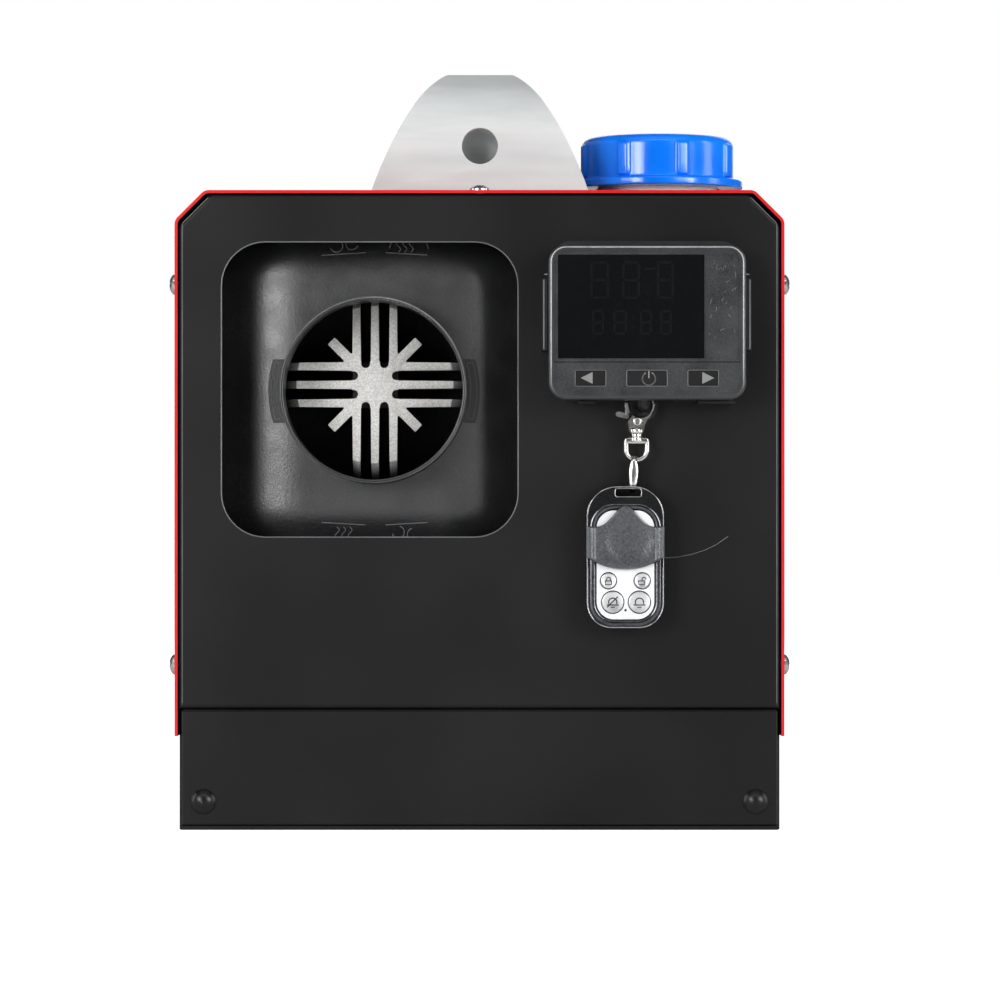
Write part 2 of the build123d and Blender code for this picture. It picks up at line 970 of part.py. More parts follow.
# ---- Outlet hood: a domed shell with a hole for the duct ring and a recess for its ears
with BuildPart() as outlet_hood:
    add(hood_block(0, hood_face))
    add(hood_block(casing_wall, hood_face + ear_thickness + casing_wall), mode=Mode.SUBTRACT)
    with BuildSketch(facing(hood_face)):
        with Locations((heater_x, outlet_z)):
            Circle(ring_outer + ring_clearance)
    extrude(amount=-4 * casing_wall, mode=Mode.SUBTRACT)
    with BuildSketch(facing(hood_face)):
        with Locations((heater_x, outlet_z)):
            Circle(ear_radius + ear_gap)
            Rectangle(3 * ear_radius, ear_height + 2 * ear_gap, mode=Mode.INTERSECT)
    extrude(amount=-ear_thickness, mode=Mode.SUBTRACT)

outlet_hood.part.label = "outlet_hood"
export_step(outlet_hood.part, "parts/outlet_hood.step")

# ---- Duct ring: a thin spigot with two ears that snap into the hood
with BuildPart() as outlet_ring:
    with BuildSketch(facing(hood_face + ear_thickness + casing_wall)):
        with Locations((heater_x, outlet_z)):
            Circle(ring_outer - ring_relief)
    extrude(amount=ear_thickness + casing_wall + relief_start)
    with BuildSketch(facing(hood_face - relief_start)):
        with Locations((heater_x, outlet_z)):
            Circle(ring_outer)
    extrude(amount=hood_face - relief_start - ring_front)
    with BuildSketch(facing(hood_face + ear_thickness)):
        with Locations((heater_x, outlet_z)):
            Circle(ear_radius)
            Rectangle(3 * ear_radius, ear_height, mode=Mode.INTERSECT)
    extrude(amount=ear_thickness)
    with BuildSketch(facing(hood_face + 4 * casing_wall)):
        with Locations((heater_x, outlet_z)):
            Circle(ring_inner)
    extrude(amount=hood_face + 4 * casing_wall - ring_front, mode=Mode.SUBTRACT)
    fillet(outlet_ring.faces().sort_by(Axis.Y)[0].edges(), ring_edge)

outlet_ring.part.label = "outlet_ring"
export_step(outlet_ring.part, "parts/outlet_ring.step")


def casing_tube():
    # Rounded tube behind the hood, with the foot's opening in its floor.
    with BuildPart() as tube:
        with BuildSketch(facing(casing_back)):
            with Locations((heater_x, outlet_z)):
                RectangleRounded(casing_width, casing_height, casing_corner)
                RectangleRounded(
                    casing_width - 2 * casing_wall,
                    casing_height - 2 * casing_wall,
                    casing_corner - casing_wall,
                    mode=Mode.SUBTRACT,
                )
        extrude(amount=casing_back - hood_back)
        add(
            upright_box(
                (heater_x - foot_width / 2 - foot_gap, heater_x + foot_width / 2 + foot_gap),
                (foot_front - foot_gap, foot_back + foot_gap),
                (casing_bottom - casing_wall, casing_bottom + 2 * casing_wall),
            ),
            mode=Mode.SUBTRACT,
        )
    return tube.part


# ---- Upper and lower casing shells, parted along the duct axis
with BuildPart() as casing_upper:
    add(casing_tube())
    split(bisect_by=Plane.XY.offset(outlet_z + joint_gap / 2), keep=Keep.TOP)

casing_upper.part.label = "casing_upper"
export_step(casing_upper.part, "parts/casing_upper.step")

with BuildPart() as casing_lower:
    add(casing_tube())
    split(bisect_by=Plane.XY.offset(outlet_z - joint_gap / 2), keep=Keep.BOTTOM)

casing_lower.part.label = "casing_lower"
export_step(casing_lower.part, "parts/casing_lower.step")

# ---- Rear intake grille: a shallow cap with upright bars
with BuildPart() as intake_grille:
    with BuildSketch(facing(casing_back + grille_depth)):
        with Locations((heater_x, outlet_z)):
            RectangleRounded(casing_width, casing_height, casing_corner)
    extrude(amount=grille_depth)
    fillet(intake_grille.faces().sort_by(Axis.Y)[-1].edges(), grille_depth / 2)
    with BuildSketch(facing(casing_back + grille_depth - grille_bar)):
        with Locations((heater_x, outlet_z)):
            RectangleRounded(
                casing_width - grille_depth, casing_height - grille_depth, casing_corner
            )
    extrude(amount=grille_depth, mode=Mode.SUBTRACT)
    bar_count = int((opening_width - grille_pitch) / grille_pitch)
    with BuildSketch(facing(back)):
        with Locations((heater_x, outlet_z)):
            with GridLocations(grille_pitch, 0, bar_count, 1):
                SlotOverall(
                    opening_height - grille_pitch, grille_pitch - grille_bar, rotation=90
                )
    extrude(amount=2 * grille_depth, mode=Mode.SUBTRACT)

intake_grille.part.label = "intake_grille"
export_step(intake_grille.part, "parts/intake_grille.step")

# ---- Heat exchanger: finned drum, front star of fins, foot with studs and two pipe stubs
with BuildSketch() as star_arm:
    with BuildLine():
        Polyline(
            (0, -arm_root / 2),
            (arm_reach, -arm_tip / 2),
            (arm_reach, arm_tip / 2),
            (0, arm_root / 2),
            close=True,
        )
    make_face()

with BuildSketch() as star_outline:
    with PolarLocations(0, 4):
        with Locations((0, -arm_pitch), (0, 0), (0, arm_pitch)):
            add(star_arm.sketch)
    Rectangle(2 * diagonal_reach, diagonal_width, rotation=45)
    Rectangle(2 * diagonal_reach, diagonal_width, rotation=135)
    Circle(star_hub)
    fillet(star_outline.vertices(), arm_round)

with BuildPart() as heat_exchanger:
    with BuildSketch(facing(drum_front)):
        with Locations((heater_x, core_z)):
            add(star_outline.sketch)
    extrude(amount=star_depth)
    with BuildSketch(Plane(origin=(heater_x, 0, core_z), x_dir=(1, 0, 0), z_dir=(0, 0, 1))):
        with BuildLine():
            Polyline(
                (0, star_front),
                (star_flat, star_front),
                (arm_reach, star_front + star_slope * (arm_reach - star_flat)),
                (arm_reach, drum_front),
                (0, drum_front),
                close=True,
            )
        make_face()
    revolve(axis=Axis((heater_x, 0, core_z), (0, 1, 0)), mode=Mode.INTERSECT)
    with BuildSketch(facing(drum_back)):
        with Locations((heater_x, core_z)):
            Circle(drum_radius)
    extrude(amount=drum_back - drum_front)
    with BuildSketch(facing(drum_back - 2 * drum_wall)):
        with Locations((heater_x, core_z)):
            with PolarLocations((drum_radius + rib_reach) / 2 - overlap, rib_count):
                Rectangle(rib_reach - drum_radius + 2 * overlap, rib_thickness)
    extrude(amount=drum_back - drum_front - 3 * drum_wall)
    add(
        upright_box(
            (heater_x - foot_width / 2, heater_x + foot_width / 2),
            (foot_front, foot_back),
            (deck_top, core_z - drum_radius + foot_overlap),
        )
    )
    with BuildSketch(facing(drum_back)):
        with Locations((heater_x, core_z)):
            Circle(drum_radius - drum_wall)
    extrude(amount=drum_back - drum_front - drum_wall, mode=Mode.SUBTRACT)
    with Locations((heater_x, plug_y, core_z + drum_radius - drum_wall / 2)):
        Cylinder(plug_radius + stud_hole_gap, 2 * drum_wall, mode=Mode.SUBTRACT)
    with Locations((heater_x, plug_y, core_z + drum_radius + (rib_reach - drum_radius) / 2)):
        Cylinder(plug_hex + stud_hole_gap, rib_reach - drum_radius + overlap, mode=Mode.SUBTRACT)
    with BuildSketch(Plane.XY.offset(deck_top)):
        with Locations((heater_x, (foot_front + foot_back) / 2)):
            with GridLocations(stud_spacing_x, stud_spacing_y, 2, 2):
                Circle(stud_radius)
    extrude(amount=-stud_length)
    with BuildSketch(Plane.XY.offset(deck_top)):
        with Locations((exhaust_x, exhaust_y), (intake_x, intake_y)):
            Circle(stub_radius)
        with Locations((heater_x, foot_front + fuel_inlet_inset)):
            Circle(fuel_stub)
    extrude(amount=-stub_length)
    with BuildSketch(Plane.XY.offset(deck_top - stub_length)):
        with Locations((exhaust_x, exhaust_y), (intake_x, intake_y)):
            Circle(stub_radius - stub_wall)
        with Locations((heater_x, foot_front + fuel_inlet_inset)):
            Circle(fuel_bore)
    extrude(amount=stub_length + foot_width / 4, mode=Mode.SUBTRACT)

heat_exchanger.part.label = "heat_exchanger"
export_step(heat_exchanger.part, "parts/heat_exchanger.step")

with BuildPart() as mounting_nuts:
    with BuildSketch(Plane.XY.offset(deck_top - base_sheet)):
        with Locations((heater_x, (foot_front + foot_back) / 2)):
            with GridLocations(stud_spacing_x, stud_spacing_y, 2, 2):
                RegularPolygon(nut_size / 2, 6, major_radius=False)
                Circle(stud_radius, mode=Mode.SUBTRACT)
    extrude(amount=-nut_height)

mounting_nuts.part.label = "mounting_nuts"
export_step(mounting_nuts.part, "parts/mounting_nuts.step")


def disc(radius, y_start, y_end):
    # Solid disc on the core axis, kept apart from any open builder.
    return Pos(heater_x, (y_start + y_end) / 2, core_z) * Rot(90, 0, 0) * Cylinder(
        radius, y_end - y_start, mode=Mode.PRIVATE
    )


# ---- Burner: a flame tube on a flange that closes the drum
with BuildPart() as burner_tube:
    add(disc(flame_tube_radius, flame_tube_front, drum_back))
    add(disc(drum_radius, drum_back, drum_back + burner_flange))
    add(
        disc(flame_tube_radius - flame_tube_wall, flame_tube_front - overlap, drum_back),
        mode=Mode.SUBTRACT,
    )
    with Locations((heater_x, plug_y, core_z + flame_tube_radius)):
        Cylinder(plug_radius + stud_hole_gap, 4 * flame_tube_wall, mode=Mode.SUBTRACT)

burner_tube.part.label = "burner_tube"
export_step(burner_tube.part, "parts/burner_tube.step")

# ---- Glow plug, screwed in from above through the drum's wall
plug_tip = core_z + flame_tube_radius - 2 * flame_tube_wall
plug_head = core_z + drum_radius
with BuildPart() as glow_plug:
    with Locations((heater_x, plug_y, (plug_tip + plug_head) / 2)):
        Cylinder(plug_radius, plug_head - plug_tip)
    with BuildSketch(Plane.XY.offset(plug_head)):
        with Locations((heater_x, plug_y)):
            RegularPolygon(plug_hex, 6)
    extrude(amount=plug_head_height)

glow_plug.part.label = "glow_plug"
export_step(glow_plug.part, "parts/glow_plug.step")

# ---- Blower housing with the combustion impeller's chamber
blower_front = drum_back + burner_flange
blower_back = blower_front + blower_depth
motor_back = blower_back + motor_depth
with BuildPart() as blower_housing:
    add(disc(blower_radius, blower_front, blower_back))
    add(
        disc(blower_radius - blower_wall, blower_front + blower_wall, blower_back - blower_wall),
        mode=Mode.SUBTRACT,
    )
    add(
        disc(shaft_radius + bearing_gap, blower_back - 2 * blower_wall, blower_back + overlap),
        mode=Mode.SUBTRACT,
    )

blower_housing.part.label = "blower_housing"
export_step(blower_housing.part, "parts/blower_housing.step")

with BuildPart() as motor_housing:
    add(disc(motor_radius, blower_back, motor_back))
    add(
        disc(motor_radius - motor_wall, blower_back + motor_wall, motor_back - motor_wall),
        mode=Mode.SUBTRACT,
    )
    add(
        disc(shaft_radius + bearing_gap, blower_back - overlap, motor_back + overlap),
        mode=Mode.SUBTRACT,
    )

motor_housing.part.label = "motor_housing"
export_step(motor_housing.part, "parts/motor_housing.step")

with BuildPart() as motor_shaft:
    add(disc(shaft_radius, blower_front + blower_wall + shaft_start, fan_centre + fan_depth / 2))
    add(
        disc(
            motor_radius - motor_wall - rotor_gap,
            blower_back + motor_wall + rotor_gap,
            motor_back - motor_wall - rotor_gap,
        )
    )

motor_shaft.part.label = "motor_shaft"
export_step(motor_shaft.part, "parts/motor_shaft.step")

# ---- Combustion impeller: back plate and straight vanes
impeller_back = blower_back - blower_wall - impeller_gap
with BuildPart() as combustion_impeller:
    add(disc(impeller_radius, impeller_back - impeller_plate, impeller_back))
    with BuildSketch(facing(impeller_back)):
        with Locations((heater_x, core_z)):
            Circle(impeller_hub)
            with PolarLocations((vane_inner + vane_outer) / 2, impeller_vanes):
                Rectangle(vane_outer - vane_inner, impeller_plate)
    extrude(amount=blower_depth / 2)
    add(disc(shaft_radius, blower_front, blower_back), mode=Mode.SUBTRACT)

combustion_impeller.part.label = "combustion_impeller"
export_step(combustion_impeller.part, "parts/combustion_impeller.step")

# ---- Cooling fan: hub and pitched blades
with BuildPart() as cooling_fan:
    add(disc(fan_hub, fan_centre - fan_depth / 2, fan_centre + fan_depth / 2))
    for blade in range(fan_blades):
        add(
            Pos(heater_x, fan_centre, core_z)
            * Rot(0, blade * 360 / fan_blades, 0)
            * Pos((fan_hub + fan_reach) / 2 - overlap, 0, 0)
            * Rot(blade_twist, 0, 0)
            * Box(fan_reach - fan_hub + 2 * overlap, fan_depth, blade_thickness, mode=Mode.PRIVATE)
        )
    add(disc(shaft_radius, fan_centre - fan_depth, fan_centre + fan_depth), mode=Mode.SUBTRACT)

cooling_fan.part.label = "cooling_fan"
export_step(cooling_fan.part, "parts/cooling_fan.step")

# ---- Control unit, lying on the blower housing under the upper casing
control_board_top = outlet_z + casing_height / 2 - casing_wall - board_room
with BuildPart() as control_board:
    add(
        upright_box(
            (heater_x - board_half, heater_x + board_half),
            (blower_front + board_inset, motor_back),
            (core_z + blower_radius, control_board_top),
        )
    )
    fillet(control_board.edges().filter_by(Axis.Z), board_corner)

control_board.part.label = "control_board"
export_step(control_board.part, "parts/control_board.step")

print("heater unit done")

# ---- Exhaust pipe and muffler with its tail pipe
pipe_start_z = deck_top - 2 * base_sheet - pipe_start_gap
with BuildPart() as exhaust_pipe:
    add(
        hose(
            [
                (exhaust_x, exhaust_y, pipe_start_z),
                (exhaust_x, exhaust_y, pipe_axis_z),
                (exhaust_x, muffler_front, pipe_axis_z),
            ],
            exhaust_bend,
            exhaust_radius,
            stub_radius + pipe_gap,
        )
    )

exhaust_pipe.part.label = "exhaust_pipe"
export_step(exhaust_pipe.part, "parts/exhaust_pipe.step")

with BuildPart() as muffler:
    with BuildSketch(facing(muffler_back)):
        with Locations((exhaust_x, pipe_axis_z)):
            RectangleRounded(muffler_width, muffler_height, muffler_corner)
    extrude(amount=muffler_back - muffler_front)
    with BuildSketch(facing(tail_end)):
        with Locations((exhaust_x, pipe_axis_z)):
            Circle(tip_radius)
    extrude(amount=tail_end - tip_start)
    with BuildSketch(facing(tip_start)):
        with Locations((exhaust_x, pipe_axis_z)):
            Circle(exhaust_radius)
    extrude(amount=tip_start - muffler_back)
    with BuildSketch(facing(muffler_front)):
        with Locations((exhaust_x, pipe_axis_z)):
            Circle(stub_radius)
    extrude(amount=spigot_length)
    for y in (muffler_front + stub_length, muffler_back - stub_length):
        add(
            upright_box(
                (exhaust_x - muffler_width / 4, exhaust_x + muffler_width / 4),
                (y - bracket_thickness / 2, y + bracket_thickness / 2),
                (base_sheet, pipe_axis_z - muffler_height / 2 + overlap),
            )
        )
    with BuildSketch(facing(muffler_back - muffler_wall)):
        with Locations((exhaust_x, pipe_axis_z)):
            RectangleRounded(
                muffler_width - 2 * muffler_wall,
                muffler_height - 2 * muffler_wall,
                muffler_corner - muffler_wall,
            )
    extrude(amount=muffler_back - muffler_front - 2 * muffler_wall, mode=Mode.SUBTRACT)
    with BuildSketch(facing(tail_end)):
        with Locations((exhaust_x, pipe_axis_z)):
            Circle(exhaust_radius - stub_wall)
    extrude(amount=tail_end - muffler_front + 2 * spigot_length, mode=Mode.SUBTRACT)

muffler.part.label = "muffler"
export_step(muffler.part, "parts/muffler.step")

# ---- Combustion air hose and intake silencer with its spigot
with BuildPart() as intake_hose:
    add(
        hose(
            [
                (intake_x, intake_y, pipe_start_z),
                (intake_x, intake_y, pipe_axis_z),
                (intake_x, silencer_front, pipe_axis_z),
            ],
            intake_bend,
            intake_hose_radius,
            stub_radius + pipe_gap,
        )
    )

intake_hose.part.label = "intake_hose"
export_step(intake_hose.part, "parts/intake_hose.step")

with BuildPart() as intake_silencer:
    with BuildSketch(facing(silencer_back)):
        with Locations((intake_x, pipe_axis_z)):
            Circle(silencer_radius)
    extrude(amount=silencer_back - silencer_front)
    with BuildSketch(facing(silencer_end)):
        with Locations((intake_x, pipe_axis_z)):
            Circle(tip_radius)
    extrude(amount=silencer_end - tip_start)
    with BuildSketch(facing(tip_start)):
        with Locations((intake_x, pipe_axis_z)):
            Circle(spigot_radius)
    extrude(amount=tip_start - silencer_back)
    with BuildSketch(facing(silencer_front)):
        with Locations((intake_x, pipe_axis_z)):
            Circle(stub_radius)
    extrude(amount=spigot_length)
    for y in (silencer_front + stub_length, silencer_back - stub_length):
        add(
            upright_box(
                (intake_x - silencer_radius / 2, intake_x + silencer_radius / 2),
                (y - bracket_thickness / 2, y + bracket_thickness / 2),
                (base_sheet, pipe_axis_z - silencer_radius + 3 * overlap),
            )
        )
    with BuildSketch(facing(silencer_back - muffler_wall)):
        with Locations((intake_x, pipe_axis_z)):
            Circle(silencer_radius - muffler_wall)
    extrude(amount=silencer_back - silencer_front - 2 * muffler_wall, mode=Mode.SUBTRACT)
    with BuildSketch(facing(silencer_end)):
        with Locations((intake_x, pipe_axis_z)):
            Circle(spigot_bore)
    extrude(amount=silencer_end - silencer_front + 2 * spigot_length, mode=Mode.SUBTRACT)

intake_silencer.part.label = "intake_silencer"
export_step(intake_silencer.part, "parts/intake_silencer.step")

# ---- Dosing pump, its plunger and the clip that holds it to the floor
pump_middle = (pump_left + pump_right) / 2


def lying_disc(radius, x_start, x_end):
    # Solid disc on the fuel line's axis, kept apart from any open builder.
    return Pos((x_start + x_end) / 2, fuel_y, fuel_z) * Rot(0, 90, 0) * Cylinder(
        radius, x_end - x_start, mode=Mode.PRIVATE
    )


with BuildPart() as pump_body:
    add(lying_disc(pump_radius, pump_left, pump_right))
    add(lying_disc(fuel_stub, pump_left - pump_stub, pump_right + pump_stub))
    add(
        lying_disc(fuel_bore, pump_left - 2 * pump_stub, pump_right + 2 * pump_stub),
        mode=Mode.SUBTRACT,
    )
    add(
        lying_disc(
            plunger_radius + plunger_gap,
            pump_middle - plunger_length / 2 - plunger_travel - plunger_end_gap,
            pump_middle + plunger_length / 2 + plunger_end_gap,
        ),
        mode=Mode.SUBTRACT,
    )

pump_body.part.label = "pump_body"
export_step(pump_body.part, "parts/pump_body.step")

with BuildPart() as pump_plunger:
    add(
        lying_disc(
            plunger_radius, pump_middle - plunger_length / 2, pump_middle + plunger_length / 2
        )
    )

pump_plunger.part.label = "pump_plunger"
export_step(pump_plunger.part, "parts/pump_plunger.step")

with BuildPart() as pump_clip:
    add(
        lying_disc(
            pump_radius + joint_gap + clip_wall,
            pump_middle - clip_width / 2,
            pump_middle + clip_width / 2,
        )
    )
    add(
        upright_box(
            (pump_middle - clip_width / 2, pump_middle + clip_width / 2),
            (fuel_y - clip_foot / 2, fuel_y + clip_foot / 2),
            (base_sheet, fuel_z - pump_radius),
        )
    )
    add(
        lying_disc(pump_radius + joint_gap, pump_middle - clip_width, pump_middle + clip_width),
        mode=Mode.SUBTRACT,
    )

pump_clip.part.label = "pump_clip"
export_step(pump_clip.part, "parts/pump_clip.step")

# ---- Fuel filter and the three hoses of the fuel line
with BuildPart() as fuel_filter:
    add(lying_disc(filter_radius, filter_left, filter_right))
    add(lying_disc(fuel_stub, filter_left - filter_stub, filter_right + filter_stub))
    add(
        lying_disc(fuel_bore, filter_left - 2 * filter_stub, filter_right + 2 * filter_stub),
        mode=Mode.SUBTRACT,
    )

fuel_filter.part.label = "fuel_filter"
export_step(fuel_filter.part, "parts/fuel_filter.step")

delivery_y = foot_front + fuel_inlet_inset
delivery_route = [
    (pump_left - hose_end_gap, fuel_y, fuel_z),
    (delivery_turn_x, fuel_y, fuel_z),
    (delivery_turn_x, fuel_y + delivery_run, fuel_z + delivery_rise),
    (heater_x, delivery_y, deck_top - 2 * stub_length),
    (heater_x, delivery_y, pipe_start_z),
]
with BuildPart() as fuel_hoses:
    for hose_start, hose_end in ((filter_right, tank_left), (pump_right, filter_left)):
        hose_span = (hose_start + hose_end_gap, hose_end - hose_end_gap)
        add(lying_disc(hose_radius, *hose_span))
        add(lying_disc(fuel_stub + hose_gap, *hose_span), mode=Mode.SUBTRACT)
    add(hose(delivery_route, delivery_bends, hose_radius, fuel_stub + hose_gap))

fuel_hoses.part.label = "fuel_hoses"
export_step(fuel_hoses.part, "parts/fuel_hoses.step")

# ---- Hose clamps: two on the exhaust pipe, two on the air hose
upper_clamp_z = deck_top - stub_length + clamp_width / 2 + pipe_gap
with BuildPart() as hose_clamps:
    with Locations((exhaust_x, exhaust_y, upper_clamp_z)):
        add(band_clamp(exhaust_radius + pipe_gap, clamp_band, clamp_width))
    with Locations((intake_x, intake_y, upper_clamp_z)):
        add(band_clamp(intake_hose_radius + pipe_gap, clamp_band, clamp_width))
    with Locations(
        Plane(origin=(exhaust_x, muffler_front - clamp_width, pipe_axis_z), z_dir=(0, 1, 0))
    ):
        add(band_clamp(exhaust_radius + pipe_gap, clamp_band, clamp_width))
    with Locations(
        Plane(origin=(intake_x, silencer_front - clamp_width, pipe_axis_z), z_dir=(0, 1, 0))
    ):
        add(band_clamp(intake_hose_radius + pipe_gap, clamp_band, clamp_width))

hose_clamps.part.label = "hose_clamps"
export_step(hose_clamps.part, "parts/hose_clamps.step")

# ---- Power gland on the rear panel, with an empty bore
with BuildPart() as power_gland:
    with BuildSketch(facing(back + gland_length)):
        with Locations((gland_x, gland_z)):
            Circle(gland_radius)
    extrude(amount=gland_length)
    chamfer(power_gland.faces().sort_by(Axis.Y)[-1].edges(), gland_radius / 4)
    with BuildSketch(facing(back)):
        with Locations((gland_x, gland_z)):
            Circle(gland_thread)
    extrude(amount=gland_length / 2)
    with BuildSketch(facing(back - sheet)):
        with Locations((gland_x, gland_z)):
            RegularPolygon(gland_radius, 6)
    extrude(amount=gland_length / 3)
    with BuildSketch(facing(back + 2 * gland_length)):
        with Locations((gland_x, gland_z)):
            Circle(gland_bore)
    extrude(amount=4 * gland_length, mode=Mode.SUBTRACT)

power_gland.part.label = "power_gland"
export_step(power_gland.part, "parts/power_gland.step")

print("pipes and fuel line done")

# ---- Controller cradle: a back plate with two ears and two lower tabs
control_left = control_x - control_width / 2
control_right = control_x + control_width / 2
control_bottom = control_z - control_height / 2
control_top = control_z + control_height / 2
with BuildPart() as controller_bracket:
    with BuildSketch(facing(front)):
        with Locations((control_x, (control_bottom + control_top + cradle_top_margin) / 2)):
            RectangleRounded(
                control_width - 2 * cradle_ear, control_height + cradle_top_margin, control_corner
            )
    extrude(amount=cradle_thickness)
    for side in (-1, 1):
        ear_inner = control_x + side * (control_width / 2 + cradle_gap)
        ear_outer = ear_inner + side * cradle_ear
        add(
            upright_box(
                (min(ear_inner, ear_outer), max(ear_inner, ear_outer)),
                (cradle_ear_front, front),
                (cradle_ear_bottom, cradle_ear_top),
            )
        )
        add(
            upright_box(
                (
                    min(control_x, ear_outer),
                    max(control_x, ear_outer),
                ),
                (front - cradle_thickness, front),
                (cradle_ear_bottom, cradle_ear_top),
            )
        )
    for tab_span in cradle_tab_spans:
        add(
            upright_box(
                tab_span,
                (control_split, front),
                (control_bottom - cradle_gap - cradle_thickness / 2, control_bottom - cradle_gap),
            )
        )
        add(
            upright_box(
                tab_span,
                (front - cradle_thickness, front),
                (control_bottom - cradle_gap - cradle_thickness / 2, control_bottom + cradle_tab_rise),
            )
        )
    add(
        upright_box(
            (notch_left, notch_right),
            (front - 2 * cradle_thickness, front + overlap),
            (control_bottom - 2 * cradle_thickness, notch_top),
        ),
        mode=Mode.SUBTRACT,
    )

controller_bracket.part.label = "controller_bracket"
export_step(controller_bracket.part, "parts/controller_bracket.step")


def control_block(inset, y_back, depth):
    # Rounded rectangle of the controller's outline, drawn in by an inset.
    with BuildPart() as block:
        with BuildSketch(facing(y_back)):
            with Locations((control_x, control_z)):
                RectangleRounded(
                    control_width - 2 * inset, control_height - 2 * inset, control_corner - inset
                )
        extrude(amount=depth)
    return block.part


# ---- Controller back shell, with the notch where the lead and the clasp pass
with BuildPart() as controller_back:
    add(control_block(cradle_gap, control_back, control_back - control_split))
    fillet(controller_back.faces().sort_by(Axis.Y)[-1].edges(), control_edge)
    add(
        control_block(
            cradle_gap + control_wall, control_back - control_wall, control_back - control_split
        ),
        mode=Mode.SUBTRACT,
    )
    add(
        upright_box(
            (notch_left - control_wall, notch_right + control_wall),
            (control_split, control_back),
            (control_bottom + cradle_gap, notch_top + control_wall),
        )
    )
    add(
        upright_box(
            (notch_left, notch_right),
            (control_split - overlap, control_back + overlap),
            (control_bottom - overlap, notch_top),
        ),
        mode=Mode.SUBTRACT,
    )

controller_back.part.label = "controller_back"
export_step(controller_back.part, "parts/controller_back.step")

# ---- Controller bezel: rounded front shell with a raised rim, a lens seat and key holes
button_middle = (button_bottom + button_top) / 2
field_y = control_front + field_depth
with BuildPart() as controller_bezel:
    add(control_block(0, control_split, control_split - control_front))
    fillet(controller_bezel.faces().sort_by(Axis.Y)[0].edges(), control_edge)
    add(
        control_block(
            control_wall, control_split, control_split - control_front - control_wall
        ),
        mode=Mode.SUBTRACT,
    )
    add(control_block(control_rim, field_y, 2 * field_depth), mode=Mode.SUBTRACT)
    with BuildSketch(facing(field_y)):
        with Locations(((lens_left + lens_right) / 2, (lens_bottom + lens_top) / 2)):
            Rectangle(lens_right - lens_left, lens_top - lens_bottom)
    extrude(amount=-lens_thickness, mode=Mode.SUBTRACT)
    with BuildSketch(facing(control_front)):
        with Locations(((lens_left + lens_right) / 2, (lens_bottom + lens_top) / 2)):
            Rectangle(
                lens_right - lens_left - 2 * window_margin,
                lens_top - lens_bottom - 2 * window_margin,
            )
        for span in button_spans:
            with Locations(((span[0] + span[1]) / 2, button_middle)):
                Rectangle(span[1] - span[0], button_top - button_bottom)
    extrude(amount=-2 * control_wall, mode=Mode.SUBTRACT)
    with BuildSketch(facing(field_y)):
        with Locations(((lens_right + strip_right) / 2 + strip_depth, (lens_bottom + lens_top) / 2)):
            Rectangle(strip_right - lens_right - strip_depth, lens_top - lens_bottom)
    extrude(amount=-strip_depth, mode=Mode.SUBTRACT)
    with Locations((lead_x, lead_y, control_bottom)):
        Cylinder(lead_radius + lead_gap, 4 * control_wall, mode=Mode.SUBTRACT)

controller_bezel.part.label = "controller_bezel"
export_step(controller_bezel.part, "parts/controller_bezel.step")

with BuildPart() as controller_lens:
    add(
        upright_box(
            (lens_left + lens_gap, lens_right - lens_gap),
            (field_y, field_y + lens_thickness),
            (lens_bottom + lens_gap, lens_top - lens_gap),
        )
    )

controller_lens.part.label = "controller_lens"
export_step(controller_lens.part, "parts/controller_lens.step")

# ---- Display glass on its board, behind the lens
display_front = control_front + control_wall + sheet_gap
with BuildPart() as controller_display:
    add(
        upright_box(
            (lens_left + window_margin, lens_right - window_margin),
            (display_front, control_split - board_thickness),
            (lens_bottom + window_margin, lens_top - window_margin),
        )
    )
    add(
        upright_box(
            (control_left + 2 * control_wall, control_right - 2 * control_wall),
            (control_split - board_thickness, control_split),
            (lens_bottom, control_top - 2 * control_wall),
        )
    )

controller_display.part.label = "controller_display"
export_step(controller_display.part, "parts/controller_display.step")


def control_key(span):
    # Key block in its hole, with a rim behind the bezel's wall.
    with BuildPart() as key:
        add(
            upright_box(
                (span[0] + button_gap, span[1] - button_gap),
                (control_front + button_recess, control_front + 2 * control_wall),
                (button_bottom + button_gap, button_top - button_gap),
            )
        )
        fillet(key.edges().filter_by(Axis.Y), button_corner)
        add(
            upright_box(
                (span[0] - button_rim, span[1] + button_rim),
                (control_front + control_wall + lens_gap, control_front + 2 * control_wall),
                (button_bottom - button_rim, button_top + button_rim),
            )
        )
    return key.part


# ---- Three controller keys
with BuildPart() as button_left:
    add(control_key(button_spans[0]))

button_left.part.label = "button_left"
export_step(button_left.part, "parts/button_left.step")

with BuildPart() as button_power:
    add(control_key(button_spans[1]))

button_power.part.label = "button_power"
export_step(button_power.part, "parts/button_power.step")

with BuildPart() as button_right:
    add(control_key(button_spans[2]))

button_right.part.label = "button_right"
export_step(button_right.part, "parts/button_right.step")

# ---- Controller lead: down out of the bezel, back through the panel, then to its plug
with BuildPart() as controller_lead:
    with BuildLine() as lead_path:
        FilletPolyline(
            (lead_x, lead_y, control_bottom + 2 * control_wall),
            (lead_x, lead_y, lead_z),
            (lead_x, lead_run_y, lead_z),
            (lead_plug_x + plug_block[0] / 2, lead_run_y, lead_z),
            radius=lead_bend,
        )
    with BuildSketch(Plane(origin=lead_path.line @ 0, z_dir=lead_path.line % 0)):
        Circle(lead_radius)
    sweep()
    with Locations((lead_plug_x, lead_run_y, lead_z)):
        Box(*plug_block)

print("lead: bend", lead_bend, "length", round(lead_path.wire().length, 1))
controller_lead.part.label = "controller_lead"
export_step(controller_lead.part, "parts/controller_lead.step")

